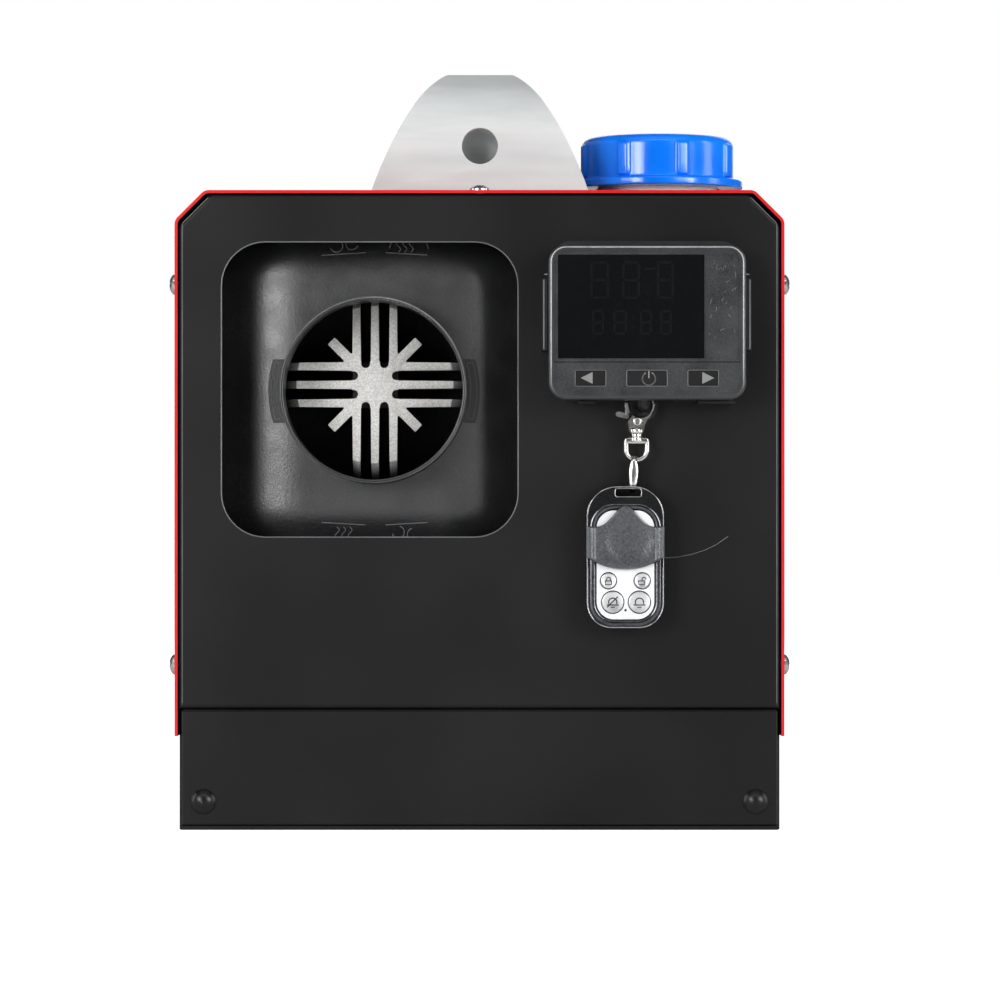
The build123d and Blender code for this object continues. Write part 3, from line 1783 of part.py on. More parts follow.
# ---- Grommet in the front panel, round the lead
with BuildPart() as lead_grommet:
    with BuildSketch(facing(front + sheet + grommet_flange)):
        with Locations((lead_x, lead_z)):
            Circle(grommet_radius)
    extrude(amount=grommet_flange)
    with BuildSketch(facing(front)):
        with Locations((lead_x, lead_z)):
            Circle(grommet_radius)
    extrude(amount=grommet_flange)
    with BuildSketch(facing(front + sheet)):
        with Locations((lead_x, lead_z)):
            Circle(grommet_groove)
    extrude(amount=sheet)
    with BuildSketch(facing(front + sheet + grommet_flange)):
        with Locations((lead_x, lead_z)):
            Circle(lead_radius + lead_gap)
    extrude(amount=sheet + 2 * grommet_flange, mode=Mode.SUBTRACT)

lead_grommet.part.label = "lead_grommet"
export_step(lead_grommet.part, "parts/lead_grommet.step")

print("controller done")

# ---- Lobster clasp: a hooked claw round its eye, on a barrel; the gate closes its left side
clasp_back = clasp_y + clasp_thickness / 2
clasp_front = clasp_y - clasp_thickness / 2
stem_top = barrel_bottom + stem_radius


def claw_outline(eye_growth):
    # Ring of the claw with its shank running down into the barrel.
    with BuildSketch() as outline:
        with Locations((eye_x, eye_z)):
            Circle(claw_radius)
        with BuildLine():
            Polyline(
                (eye_x - claw_radius, eye_z),
                (eye_x + claw_radius, eye_z),
                (clasp_x + barrel_radius, barrel_bottom),
                (clasp_x - barrel_radius, barrel_bottom),
                close=True,
            )
        make_face()
        with Locations((eye_x, eye_z)):
            Circle(eye_radius + eye_growth, mode=Mode.SUBTRACT)
    return outline.sketch


gate_field = (
    (eye_x - 2 * claw_radius, eye_x),
    (clasp_front - overlap, clasp_back + overlap),
    (pivot_z - gate_hinge_radius, gate_tip_z + hang_gap),
)
with BuildPart() as clasp_body:
    with BuildSketch(facing(clasp_back)):
        add(claw_outline(0))
    extrude(amount=clasp_thickness)
    add(upright_box(*gate_field), mode=Mode.SUBTRACT)
    with Locations((clasp_x, clasp_y, (barrel_bottom + barrel_top) / 2)):
        Cylinder(barrel_radius, barrel_top - barrel_bottom)
    with BuildSketch(facing(clasp_back)):
        with Locations((pivot_x, pivot_z)):
            Circle(gate_hinge_radius)
    extrude(amount=clasp_thickness)
    with BuildSketch(facing(clasp_y + gate_thickness / 2 + gate_gap)):
        with Locations((pivot_x, pivot_z)):
            Circle(gate_hinge_radius + gate_gap)
    extrude(amount=gate_thickness + 2 * gate_gap, mode=Mode.SUBTRACT)
    with BuildSketch(facing(clasp_back)):
        with Locations((pivot_x, pivot_z)):
            Circle(pivot_radius)
    extrude(amount=clasp_thickness)
    with Locations((clasp_x, clasp_y, (barrel_bottom + stem_top) / 2)):
        Cylinder(stem_radius + stem_gap, stem_top - barrel_bottom + 2 * stem_gap, mode=Mode.SUBTRACT)
    with Locations((clasp_x, clasp_y, stem_top + stem_head / 2)):
        Cylinder(stem_head_radius + stem_gap, stem_head + 2 * stem_gap, mode=Mode.SUBTRACT)

clasp_body.part.label = "clasp_body"
export_step(clasp_body.part, "parts/clasp_body.step")

# ---- Clasp gate: the claw's left side on the pivot, with its thumb lever
with BuildPart() as clasp_gate:
    with BuildSketch(facing(clasp_y + gate_thickness / 2)):
        add(claw_outline(gate_eye_gap))
        with Locations((eye_x - claw_radius, (pivot_z + gate_tip_z) / 2)):
            Rectangle(2 * claw_radius - gate_gap, gate_tip_z - pivot_z, mode=Mode.INTERSECT)
        with Locations((pivot_x, pivot_z)):
            Circle(gate_hinge_radius)
        with BuildLine():
            Polyline(
                (pivot_x, trigger_top),
                (trigger_left, trigger_top - trigger_slope),
                (trigger_left, trigger_bottom),
                (pivot_x, trigger_bottom),
                close=True,
            )
        make_face()
        with Locations((pivot_x, pivot_z)):
            Circle(pivot_radius + bearing_gap, mode=Mode.SUBTRACT)
    extrude(amount=gate_thickness)

clasp_gate.part.label = "clasp_gate"
export_step(clasp_gate.part, "parts/clasp_gate.step")

# ---- Swivel: headed stem, collar and D ring
d_left = clasp_x - d_ring_width / 2 + d_ring_wire
d_right = clasp_x + d_ring_width / 2 - d_ring_wire
with BuildPart() as swivel_ring:
    with BuildLine(Plane.XZ.offset(-clasp_y)) as d_wire:
        FilletPolyline(
            (d_left + d_ring_lean, d_ring_top),
            (d_left, d_ring_bar_z),
            (d_right, d_ring_bar_z),
            (d_right - d_ring_lean, d_ring_top),
            radius=d_ring_corner,
            close=True,
        )
    with BuildSketch(Plane(origin=d_wire.line @ 0, z_dir=d_wire.line % 0)):
        Circle(d_ring_wire)
    sweep()
    collar_bottom = d_ring_top - d_ring_wire
    with Locations((clasp_x, clasp_y, (collar_bottom + barrel_bottom - gate_gap) / 2)):
        Cylinder(swivel_collar, barrel_bottom - gate_gap - collar_bottom)
    with Locations((clasp_x, clasp_y, (d_ring_top + stem_top) / 2)):
        Cylinder(stem_radius, stem_top - d_ring_top)
    with Locations((clasp_x, clasp_y, stem_top + stem_head / 2)):
        Cylinder(stem_head_radius, stem_head)

swivel_ring.part.label = "swivel_ring"
export_step(swivel_ring.part, "parts/swivel_ring.step")

# ---- Link strip: a flat band closed into a loop from the D ring's bar to the fob's bridge
bridge_bottom = fob_top - bridge_height
link_top = d_ring_bar_z + d_ring_wire + hang_gap
link_bottom = bridge_bottom - hang_gap
with BuildPart() as link_strip:
    with BuildSketch(Plane.YZ.offset(link_x - link_width / 2)):
        with Locations((clasp_y, (link_top + link_bottom) / 2)):
            SlotOverall(
                link_top - link_bottom + 2 * link_band,
                link_inner_width + 2 * link_band,
                rotation=90,
            )
            SlotOverall(
                link_top - link_bottom, link_inner_width, rotation=90, mode=Mode.SUBTRACT
            )
    extrude(amount=link_width)

link_strip.part.label = "link_strip"
export_step(link_strip.part, "parts/link_strip.step")


def fob_outline(inset):
    # Upright outline of the fob, rounder at its top than at its bottom.
    with BuildSketch() as outline:
        with Locations((fob_x, (fob_bottom + fob_top) / 2)):
            Rectangle(fob_width - 2 * inset, fob_top - fob_bottom - 2 * inset)
        fillet(outline.vertices().group_by(Axis.Y)[-1], fob_top_corner - inset)
        fillet(outline.vertices().group_by(Axis.Y)[0], fob_bottom_corner - inset)
    return outline.sketch


# ---- Key fob case: slot and bridge at the top, a seat for the faceplate, pockets for the keys
key_spots = [(x, small_key_z, small_key_radius) for x in small_key_x]
key_spots += [(x, large_key_z, large_key_radius) for x in large_key_x]
plate_back = fob_front + plate_thickness
with BuildPart() as fob_case:
    with BuildSketch(facing(fob_back)):
        add(fob_outline(0))
    extrude(amount=fob_back - fob_front)
    fillet(fob_case.faces().sort_by(Axis.Y)[0].edges(), fob_edge)
    fillet(fob_case.faces().sort_by(Axis.Y)[-1].edges(), fob_edge)
    with BuildSketch(facing(fob_front)):
        with Locations(((slot_left + slot_right) / 2, (slot_bottom + bridge_bottom) / 2)):
            RectangleRounded(slot_right - slot_left, bridge_bottom - slot_bottom, slot_corner)
    extrude(amount=fob_front - fob_back, mode=Mode.SUBTRACT)
    add(
        upright_box(
            (slot_left, slot_right),
            (fob_front - overlap, fob_back + overlap),
            (slot_bottom + slot_corner, fob_top + overlap),
        ),
        mode=Mode.SUBTRACT,
    )
    with Locations(((slot_left + slot_right) / 2, clasp_y, fob_top - bridge_height / 2)):
        Cylinder(bridge_height / 2, slot_right - slot_left + 2 * slot_corner, rotation=(0, 90, 0))
    with BuildSketch(facing(fob_front)):
        with Locations(((plate_left + plate_right) / 2, (plate_bottom + plate_top) / 2)):
            RectangleRounded(plate_right - plate_left, plate_top - plate_bottom, plate_corner)
    extrude(amount=-plate_thickness, mode=Mode.SUBTRACT)
    for key_x, key_z, key_radius in key_spots:
        with BuildSketch(facing(plate_back)):
            with Locations((key_x, key_z)):
                Circle(key_radius + key_rim + key_gap)
        extrude(amount=-(key_height - plate_thickness + key_travel + key_room), mode=Mode.SUBTRACT)
    for side in (-1, 1):
        lip_inner = fob_x + side * (fob_width / 2 - slide_lip - hang_gap)
        lip_outer = fob_x + side * (fob_width / 2 + overlap)
        add(
            upright_box(
                (min(lip_inner, lip_outer), max(lip_inner, lip_outer)),
                (fob_front - overlap, fob_front + slide_lip_depth + hang_gap),
                (slide_side - slide_travel - hang_gap, slide_shoulder + hang_gap),
            ),
            mode=Mode.SUBTRACT,
        )

fob_case.part.label = "fob_case"
export_step(fob_case.part, "parts/fob_case.step")

with BuildPart() as fob_faceplate:
    with BuildSketch(facing(plate_back)):
        with Locations(((plate_left + plate_right) / 2, (plate_bottom + plate_top) / 2)):
            RectangleRounded(
                plate_right - plate_left - 2 * lens_gap,
                plate_top - plate_bottom - 2 * lens_gap,
                plate_corner - lens_gap,
            )
        for key_x, key_z, key_radius in key_spots:
            with Locations((key_x, key_z)):
                Circle(key_radius + key_gap, mode=Mode.SUBTRACT)
    extrude(amount=plate_thickness)

fob_faceplate.part.label = "fob_faceplate"
export_step(fob_faceplate.part, "parts/fob_faceplate.step")


def fob_key(x, z, radius):
    # Round key standing a little proud of the faceplate, with a rim behind it.
    with BuildPart() as key:
        with BuildSketch(facing(fob_front + key_height - key_proud)):
            with Locations((x, z)):
                Circle(radius)
        extrude(amount=key_height)
        fillet(key.faces().sort_by(Axis.Y)[0].edges(), key_edge)
        with BuildSketch(facing(fob_front + key_height - key_proud)):
            with Locations((x, z)):
                Circle(radius + key_rim)
        extrude(amount=key_height - key_proud - plate_thickness - bearing_gap)
    return key.part


# ---- Four fob keys
with BuildPart() as key_upper_left:
    add(fob_key(*key_spots[0]))

key_upper_left.part.label = "key_upper_left"
export_step(key_upper_left.part, "parts/key_upper_left.step")

with BuildPart() as key_upper_right:
    add(fob_key(*key_spots[1]))

key_upper_right.part.label = "key_upper_right"
export_step(key_upper_right.part, "parts/key_upper_right.step")

with BuildPart() as key_lower_left:
    add(fob_key(*key_spots[2]))

key_lower_left.part.label = "key_lower_left"
export_step(key_lower_left.part, "parts/key_lower_left.step")

with BuildPart() as key_lower_right:
    add(fob_key(*key_spots[3]))

key_lower_right.part.label = "key_lower_right"
export_step(key_lower_right.part, "parts/key_lower_right.step")

# ---- Sliding cover: a bell-shaped plate whose side lips hook over the case's rails
slide_back = fob_front - slide_clearance
fob_left = fob_x - fob_width / 2
fob_right = fob_x + fob_width / 2
bell_middle_z = (slide_shoulder + slide_top) / 2 + bell_swell[1]
with BuildPart() as fob_slide_cover:
    with BuildSketch(facing(slide_back)):
        with BuildLine():
            bell_left = Spline(
                (fob_left, slide_shoulder),
                ((fob_left + fob_x) / 2 - bell_swell[0], bell_middle_z),
                (fob_x, slide_top),
                tangents=(shoulder_slope, (1, 0)),
            )
            bell_right = Spline(
                (fob_x, slide_top),
                ((fob_right + fob_x) / 2 + bell_swell[0], bell_middle_z),
                (fob_right, slide_shoulder),
                tangents=((1, 0), (shoulder_slope[0], -shoulder_slope[1])),
            )
            Line((fob_right, slide_shoulder), (fob_right, slide_side))
            ThreePointArc(
                (fob_right, slide_side), (fob_x, slide_bottom), (fob_left, slide_side)
            )
            Line((fob_left, slide_side), (fob_left, slide_shoulder))
        make_face()
    extrude(amount=slide_thickness)
    fillet(fob_slide_cover.faces().sort_by(Axis.Y)[0].edges(), slide_edge)
    for side in (-1, 1):
        lip_inner = fob_x + side * (fob_width / 2 - slide_lip)
        lip_outer = fob_x + side * fob_width / 2
        add(
            upright_box(
                (min(lip_inner, lip_outer), max(lip_inner, lip_outer)),
                (slide_back - slide_thickness / 2, fob_front + slide_lip_depth),
                (slide_side, slide_shoulder),
            )
        )

fob_slide_cover.part.label = "fob_slide_cover"
export_step(fob_slide_cover.part, "parts/fob_slide_cover.step")

print("clasp and fob done")
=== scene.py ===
import json
import math
import bmesh
import bpy
import numpy as np
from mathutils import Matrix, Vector


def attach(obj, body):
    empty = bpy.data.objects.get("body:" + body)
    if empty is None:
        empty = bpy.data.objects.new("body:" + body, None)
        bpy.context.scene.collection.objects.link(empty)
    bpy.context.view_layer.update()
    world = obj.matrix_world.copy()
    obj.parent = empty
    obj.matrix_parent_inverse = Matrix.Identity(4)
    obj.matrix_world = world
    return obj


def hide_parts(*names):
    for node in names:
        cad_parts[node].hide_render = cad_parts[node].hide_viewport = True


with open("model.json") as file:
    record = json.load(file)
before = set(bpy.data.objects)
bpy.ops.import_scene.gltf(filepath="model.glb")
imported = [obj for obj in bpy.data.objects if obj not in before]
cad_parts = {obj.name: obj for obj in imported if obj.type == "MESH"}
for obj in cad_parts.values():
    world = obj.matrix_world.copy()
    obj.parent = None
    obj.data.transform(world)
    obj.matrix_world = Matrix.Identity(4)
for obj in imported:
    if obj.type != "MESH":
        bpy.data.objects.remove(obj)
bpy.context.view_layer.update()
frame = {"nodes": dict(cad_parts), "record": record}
scene = bpy.context.scene
mm = 0.001


# camera, level and far off, where the photograph was taken
cameraSetup = {"place": (8.2, -1995.0, 132.0), "lens": 162.0, "sensor": 36.0, "clip": (0.05, 50.0)}
cameraData = bpy.data.cameras.new("photoCamera")
cameraData.sensor_width, cameraData.lens = cameraSetup["sensor"], cameraSetup["lens"]
cameraData.clip_start, cameraData.clip_end = cameraSetup["clip"]
camera = bpy.data.objects.new("photoCamera", cameraData)
camera.location = [value * mm for value in cameraSetup["place"]]
camera.rotation_euler = (math.radians(90), 0, 0)
scene.collection.objects.link(camera)
scene.camera = camera
scene.view_settings.view_transform = "Standard"
print("camera placed")


# colours and nodes
def hexToLinear(code):
    # sRGB hex to linear light, with the standard's straight part near black
    values = [int(code[i:i + 2], 16) / 255 for i in (0, 2, 4)]
    return [c / 12.92 if c <= 0.04045 else ((c + 0.055) / 1.055) ** 2.4 for c in values] + [1.0]


def perMetre(sizeMm):
    # texture scale that makes one lump of a pattern about sizeMm across
    return 1.0 / (sizeMm * mm)


def addNode(tree, kind, inputs=None, **settings):
    # one node: its settings, then each input as a link, a hex colour or a plain value; a node given as an
    # input is linked by its first output
    node = tree.nodes.new("ShaderNode" + kind)
    for name, value in settings.items():
        setattr(node, name, value)
    for name, value in (inputs or {}).items():
        if isinstance(value, bpy.types.Node):
            value = value.outputs[0]
        if isinstance(value, bpy.types.NodeSocket):
            tree.links.new(value, node.inputs[name])
        else:
            node.inputs[name].default_value = hexToLinear(value) if isinstance(value, str) else value
    return node


def newMaterial(name):
    # an empty material, its node tree and the place on the object that every pattern starts from
    material = bpy.data.materials.new(name)
    material.use_nodes = True
    tree = material.node_tree
    tree.nodes.clear()
    return material, tree, addNode(tree, "TexCoord").outputs["Object"]


def clouded(tree, tint, tones, shine, rough, easing="LINEAR"):
    # tint and shine are (pattern, low, high): the colour goes through tones and the roughness through rough
    share = addNode(tree, "MapRange", {"Value": tint[0], "From Min": tint[1], "From Max": tint[2]},
                    interpolation_type=easing)
    colour = addNode(tree, "Mix", {0: share, 6: tones[0], 7: tones[1]}, data_type="RGBA").outputs[2]
    gloss = addNode(tree, "MapRange", {"Value": shine[0], "From Min": shine[1], "From Max": shine[2],
                                       "To Min": rough[0], "To Max": rough[1]}, interpolation_type=easing)
    return colour, gloss


def finishMaterial(material, colour, gloss, relief, fixed):
    # one shader from the maps; fixed holds what is the same all over the surface
    tree = material.node_tree
    shader = addNode(tree, "BsdfPrincipled", {"Base Color": colour, "Roughness": gloss})
    if relief is not None:
        tree.links.new(relief.outputs["Normal"], shader.inputs["Normal"])
    for name, value in fixed.items():
        shader.inputs[name].default_value = value
    addNode(tree, "OutputMaterial", {"Surface": shader})
    return material


def powderCoat(name, light, dark, rough, specular, inside=None):
    # sprayed and baked coating: even colour, soft gloss and the low ripple called orange peel
    material, tree, place = newMaterial(name)
    cloud, peel, grit = [addNode(tree, "TexNoise", {"Vector": place, "Scale": perMetre(size), "Detail": 1.0})
                         for size in (60.0, 2.2, 0.6)]
    colour, gloss = clouded(tree, (cloud, 0.2, 0.8), (dark, light), (cloud, 0.2, 0.8), rough, "SMOOTHSTEP")
    if inside:
        # a face that looks back towards the middle of the case is an inner one: it takes the near-black
        # inside colour, a painted shade
        caseMiddle = (0.0, 0.0, 130.0 * mm)
        facing = addNode(tree, "NewGeometry").outputs["Normal"]
        fromMiddle = addNode(tree, "VectorMath", {0: place, 1: caseMiddle}, operation="SUBTRACT")
        outwards = addNode(tree, "VectorMath", {0: fromMiddle, 1: facing}, operation="DOT_PRODUCT")
        inner = addNode(tree, "Math", {0: outwards.outputs["Value"], 1: 0.0}, operation="LESS_THAN")
        colour = addNode(tree, "Mix", {0: inner, 6: colour, 7: inside}, data_type="RGBA").outputs[2]
    ripple = addNode(tree, "Bump", {"Height": peel, "Distance": 0.02 * mm, "Strength": 0.3})
    fine = addNode(tree, "Bump", {"Height": grit, "Distance": 0.006 * mm, "Strength": 0.3, "Normal": ripple})
    return finishMaterial(material, colour, gloss, fine, {"IOR": 1.5, "Specular IOR Level": specular})


def mouldedPlastic(name, light, dark, rough, grainMm=0.5, depth=0.02, ior=1.49, specular=0.5):
    # injection moulding: the mould's fine spark-eroded grain, and a slow change of gloss where it was handled
    material, tree, place = newMaterial(name)
    cloud = addNode(tree, "TexNoise", {"Vector": place, "Scale": perMetre(25.0), "Detail": 3.0})
    grain = addNode(tree, "TexNoise", {"Vector": place, "Scale": perMetre(grainMm), "Detail": 2.0})
    colour, gloss = clouded(tree, (cloud, 0.35, 0.65), (dark, light), (cloud, 0.3, 0.7), rough)
    relief = addNode(tree, "Bump", {"Height": grain, "Distance": depth * mm, "Strength": 0.7})
    return finishMaterial(material, colour, gloss, relief, {"IOR": ior, "Specular IOR Level": specular})


def scuffedPlastic(name, light, dark, rough, markMm, depth, specular=0.5):
    # matt textured case plastic: a leathery grain, rubbed brighter on its high spots by hands
    material, tree, place = newMaterial(name)
    handling = {"Vector": place, "Scale": perMetre(14.0), "Detail": 5.0, "Roughness": 0.65}
    rub = addNode(tree, "TexNoise", handling)
    hide = {"Vector": place, "Scale": perMetre(markMm), "Detail": 3.0, "Roughness": 0.6}
    leather = addNode(tree, "TexNoise", hide)
    pits = addNode(tree, "TexVoronoi", {"Vector": place, "Scale": perMetre(markMm * 1.6)})
    colour, gloss = clouded(tree, (leather, 0.4, 0.68), (dark, light), (rub, 0.35, 0.65), rough)
    coarse = addNode(tree, "Bump", {"Height": leather, "Distance": depth * mm, "Strength": 0.8})
    relief = addNode(tree, "Bump",
                     {"Height": pits, "Distance": depth * mm, "Strength": 0.4, "Normal": coarse})
    return finishMaterial(material, colour, gloss, relief, {"IOR": 1.53, "Specular IOR Level": specular})


def paintedHighlightEdge(name, dull, bright, crest, heights, rough):
    # dark moulded edge with a painted highlight: brightest and glossiest on its crest and towards its top,
    # fading downwards, in patches
    material, tree, place = newMaterial(name)
    axes = addNode(tree, "SeparateXYZ", {"Vector": place}).outputs
    proud, high = [addNode(tree, "MapRange",
                           {"Value": axes[axis], "From Min": low * mm, "From Max": top * mm},
                           interpolation_type="SMOOTHSTEP") for axis,
                           (low, top) in (("Y", crest), ("Z", heights))]
    cloud = addNode(tree, "TexNoise", {"Vector": place, "Scale": perMetre(3.0), "Detail": 3.0})
    patchy = addNode(tree, "MapRange", {"Value": cloud, "From Min": 0.3, "From Max": 0.6, "To Min": 0.7})
    litCrestAndTop = addNode(tree, "Math", {0: proud, 1: high}, operation="MULTIPLY")
    highlightShare = addNode(tree, "Math", {0: litCrestAndTop, 1: patchy}, operation="MULTIPLY")
    colour = addNode(tree, "Mix", {0: highlightShare, 6: dull, 7: bright}, data_type="RGBA").outputs[2]
    gloss = addNode(tree, "MapRange", {"Value": highlightShare, "To Min": rough[1], "To Max": rough[0]})
    return finishMaterial(material, colour, gloss, None, {"IOR": 1.54})


def workedMetal(name, light, dark, rough, grainMm=0.3, depth=0.004, stretch=(1.0, 1.0, 1.0)):
    # plated or drawn metal: a faint cloud in its gloss and fine marks, drawn out along the way it was worked
    material, tree, place = newMaterial(name)
    worked = addNode(tree, "Mapping", {"Vector": place, "Scale": stretch})
    cloud = addNode(tree, "TexNoise", {"Vector": place, "Scale": perMetre(6.0), "Detail": 2.0})
    fine = {"Vector": worked, "Scale": perMetre(grainMm), "Detail": 3.0, "Roughness": 0.6}
    marks = addNode(tree, "TexNoise", fine)
    colour, gloss = clouded(tree, (marks, 0.3, 0.7), (dark, light), (cloud, 0.3, 0.7), rough)
    relief = addNode(tree, "Bump", {"Height": marks, "Distance": depth * mm, "Strength": 0.6})
    return finishMaterial(material, colour, gloss, relief, {"Metallic": 1.0})


def castAluminium(name, face, depth):
    # die casting: a sandy pale front face, its pin-holes painted darker as painted shade; what lies deeper is
    # painted near black, a painted shade
    material, tree, place = newMaterial(name)
    sand = addNode(tree, "TexNoise",
                   {"Vector": place, "Scale": perMetre(0.6), "Detail": 3.0, "Roughness": 0.7})
    pits = addNode(tree, "TexVoronoi", {"Vector": place, "Scale": perMetre(1.1)})
    grains = addNode(tree, "MapRange", {"Value": sand, "From Min": 0.36, "From Max": 0.64})
    # pin-hole spots painted darker grey: painted shade for holes the mesh does not have
    pinholeShade = addNode(tree, "MapRange", {"Value": pits, "From Min": 0.14, "From Max": 0.0})
    along = addNode(tree, "SeparateXYZ", {"Vector": place}).outputs["Y"]
    # deeper than the front face the colour goes to near black: painted shade inside the fins
    inwards = {"Value": along, "From Min": (face + 0.3) * mm, "From Max": (face + depth) * mm}
    deep = addNode(tree, "MapRange", inwards, interpolation_type="SMOOTHSTEP")
    pale = addNode(tree, "Mix", {0: grains, 6: "B0AFAD", 7: "DAD9D6"}, data_type="RGBA").outputs[2]
    pitted = addNode(tree, "Mix", {0: pinholeShade, 6: pale, 7: "77767A"}, data_type="RGBA").outputs[2]
    paintedShadeTone = addNode(tree, "Mix", {0: grains, 6: "1B1B1D", 7: "39393B"}, data_type="RGBA").outputs[2]
    colour = addNode(tree, "Mix", {0: deep, 6: pitted, 7: paintedShadeTone}, data_type="RGBA").outputs[2]
    gloss = addNode(tree, "MapRange", {"Value": sand, "To Min": 0.5, "To Max": 0.75})
    coarse = addNode(tree, "Bump", {"Height": sand, "Distance": 0.08 * mm, "Strength": 0.7})
    return finishMaterial(material, colour, gloss, coarse, {"Metallic": 0.25})


def galvanisedSheet(name):
    # hot dipped sheet: zinc crystals a few millimetres across, each with its own grey and gloss
    material, tree, place = newMaterial(name)
    spangle = addNode(tree, "TexVoronoi", {"Vector": place, "Scale": perMetre(5.0)}).outputs["Color"]
    grey = addNode(tree, "SeparateColor", {"Color": spangle}).outputs["Red"]
    grain = addNode(tree, "TexNoise", {"Vector": place, "Scale": perMetre(0.6), "Detail": 2.0})
    colour = addNode(tree, "Mix", {0: grey, 6: "8E9296", 7: "BFC2C4"}, data_type="RGBA").outputs[2]
    gloss = addNode(tree, "MapRange", {"Value": grey, "To Min": 0.3, "To Max": 0.48})
    relief = addNode(tree, "Bump", {"Height": grain, "Distance": 0.01 * mm, "Strength": 0.4})
    return finishMaterial(material, colour, gloss, relief, {"Metallic": 1.0})


def polyethylene(name, light, dark, rough, inner):
    # natural blow-moulded polyethylene: milky, lets a little light in, with soft level flow marks
    material, tree, place = newMaterial(name)
    flow = addNode(tree, "Mapping", {"Vector": place, "Scale": (0.5, 0.3, 4.0)})
    cloud = addNode(tree, "TexNoise", {"Vector": flow, "Scale": perMetre(30.0), "Detail": 4.0})
    grain = addNode(tree, "TexNoise", {"Vector": place, "Scale": perMetre(0.9), "Detail": 2.0})
    colour, gloss = clouded(tree, (cloud, 0.35, 0.65), (dark, light), (cloud, 0.3, 0.7), rough)
    relief = addNode(tree, "Bump", {"Height": grain, "Distance": 0.015 * mm, "Strength": 0.5})
    milky = {"Subsurface Weight": inner, "Subsurface Radius": (1.0, 0.97, 0.94), "Subsurface Scale": 2.5 * mm}
    return finishMaterial(material, colour, gloss, relief, {"IOR": 1.51, **milky})


# most looks: name, light and dark colour and the roughness range; the rest is as their functions take it
looks = {
    # the red sheet's inside colour 121011 is a painted shade on its inner faces
    "red_sheet": powderCoat("redPowderCoatedSteel", "C8121E", "BF101B", (0.27, 0.32), 0.5, "121011"),
    "black_sheet": powderCoat("blackPowderCoatedSteel", "0E0E0F", "0A0A0B", (0.36, 0.46), 0.25),
    "rivet_plastic": mouldedPlastic("blackNylonSnapRivet", "0E0E0F", "0A0A0B", (0.26, 0.34), 0.9, 0.006, 1.53,
                                    0.3),
    "zinc_steel": workedMetal("brightZincPlatedSteel", "D9DBDD", "A7AAAE", (0.2, 0.34)),
    "steel_sheet": galvanisedSheet("hotDippedZincSheet"),
    "handle_plastic": polyethylene("naturalPolyethyleneHandle", "BDC0C0", "B1B4B4", (0.46, 0.58), 0.1),
    "tank_plastic": polyethylene("naturalPolyethyleneTank", "EDEDE8", "DFDFD8", (0.4, 0.55), 0.3),
    "cap_plastic": mouldedPlastic("bluePolypropyleneCap", "0078F2", "006AE0", (0.14, 0.24), 1.2, 0.008, 1.49),
    "seal_rubber": mouldedPlastic("blackNitrileRubber", "1A1A1A", "121212", (0.6, 0.75), 0.5, 0.015, 1.52),
    "black_plastic": scuffedPlastic("glassFilledNylonHousing", "252628", "161618", (0.32, 0.42), 0.8, 0.06,
                                    0.85),
    "cast_aluminium": castAluminium("castAluminiumPaintedShade", -160.0, 7.0),
    "stainless": workedMetal("drawnStainlessSteel", "B9B6B1", "928F8A", (0.26, 0.4), 0.4, 0.004,
                             (1.0, 0.08, 1.0)),
    "hose_rubber": mouldedPlastic("blackHoseRubber", "151515", "0F0F0F", (0.55, 0.7), 0.7, 0.02, 1.52),
    "gland_plastic": mouldedPlastic("blackNylonGland", "191919", "121212", (0.4, 0.5), 0.5, 0.01, 1.53),
    "controller_plastic": scuffedPlastic("satinBlackAbsCase", "303234", "191A1C", (0.28, 0.42), 0.55, 0.025,
                                         0.6),
    "lens_plastic": mouldedPlastic("smokedAcrylicLens", "0B0C0D", "090A0B", (0.06, 0.1), 8.0, 0.0, 1.49, 0.4),
    "display_glass": mouldedPlastic("darkDisplayGlass", "0A0B0D", "08090A", (0.1, 0.16), 8.0, 0.0, 1.5),
    "key_rubber": mouldedPlastic("blackSiliconeKey", "0E0E0F", "0A0A0B", (0.42, 0.55), 0.4, 0.01, 1.43, 0.35),
    "lead_jacket": mouldedPlastic("blackVinylLead", "141414", "0E0E0E", (0.4, 0.52), 0.9, 0.01, 1.53),
    "chrome_metal": workedMetal("nickelPlatedZincCasting", "E2E0DE", "BDBBB9", (0.12, 0.24), 0.5, 0.012),
    "fob_chrome": workedMetal("chromePlatedAbs", "C9CACC", "A3A4A7", (0.08, 0.16), 1.2, 0.004),
    "fob_silver": mouldedPlastic("silverLacqueredPlate", "DDDEE0", "D2D3D5", (0.3, 0.4), 0.35, 0.008, 1.5),
    "fob_dark": scuffedPlastic("charcoalAbsCover", "4E5054", "2E3033", (0.26, 0.36), 0.75, 0.09, 0.7),
}
slotOf = {s["node"]: s["material_slot"] for s in frame["record"]["subparts"]}
for nodeName, node in frame["nodes"].items():
    node.data.materials.clear()
    node.data.materials.append(looks[slotOf[nodeName]])
print("materials on", len(slotOf), "nodes")


# shapes: every new piece is a grid of points in millimetres, worked out with numpy
def skin(rows, closed=True, capped=True):
    # rows is m loops of n points; quads join each loop to the next, and a cap closes each end
    rows = np.asarray(rows, float)
    m, n = rows.shape[:2]
    index = np.arange(m * n).reshape(m, n)
    a, b = index[:-1], index[1:]
    if closed:
        a2, b2 = np.roll(a, -1, 1), np.roll(b, -1, 1)
    else:
        a, a2, b, b2 = a[:, :-1], a[:, 1:], b[:, :-1], b[:, 1:]
    faces = np.stack([a, a2, b2, b], -1).reshape(-1, 4).tolist()
    if capped and closed:
        faces += [index[0, ::-1].tolist(), index[-1].tolist()]
    return rows.reshape(-1, 3), faces


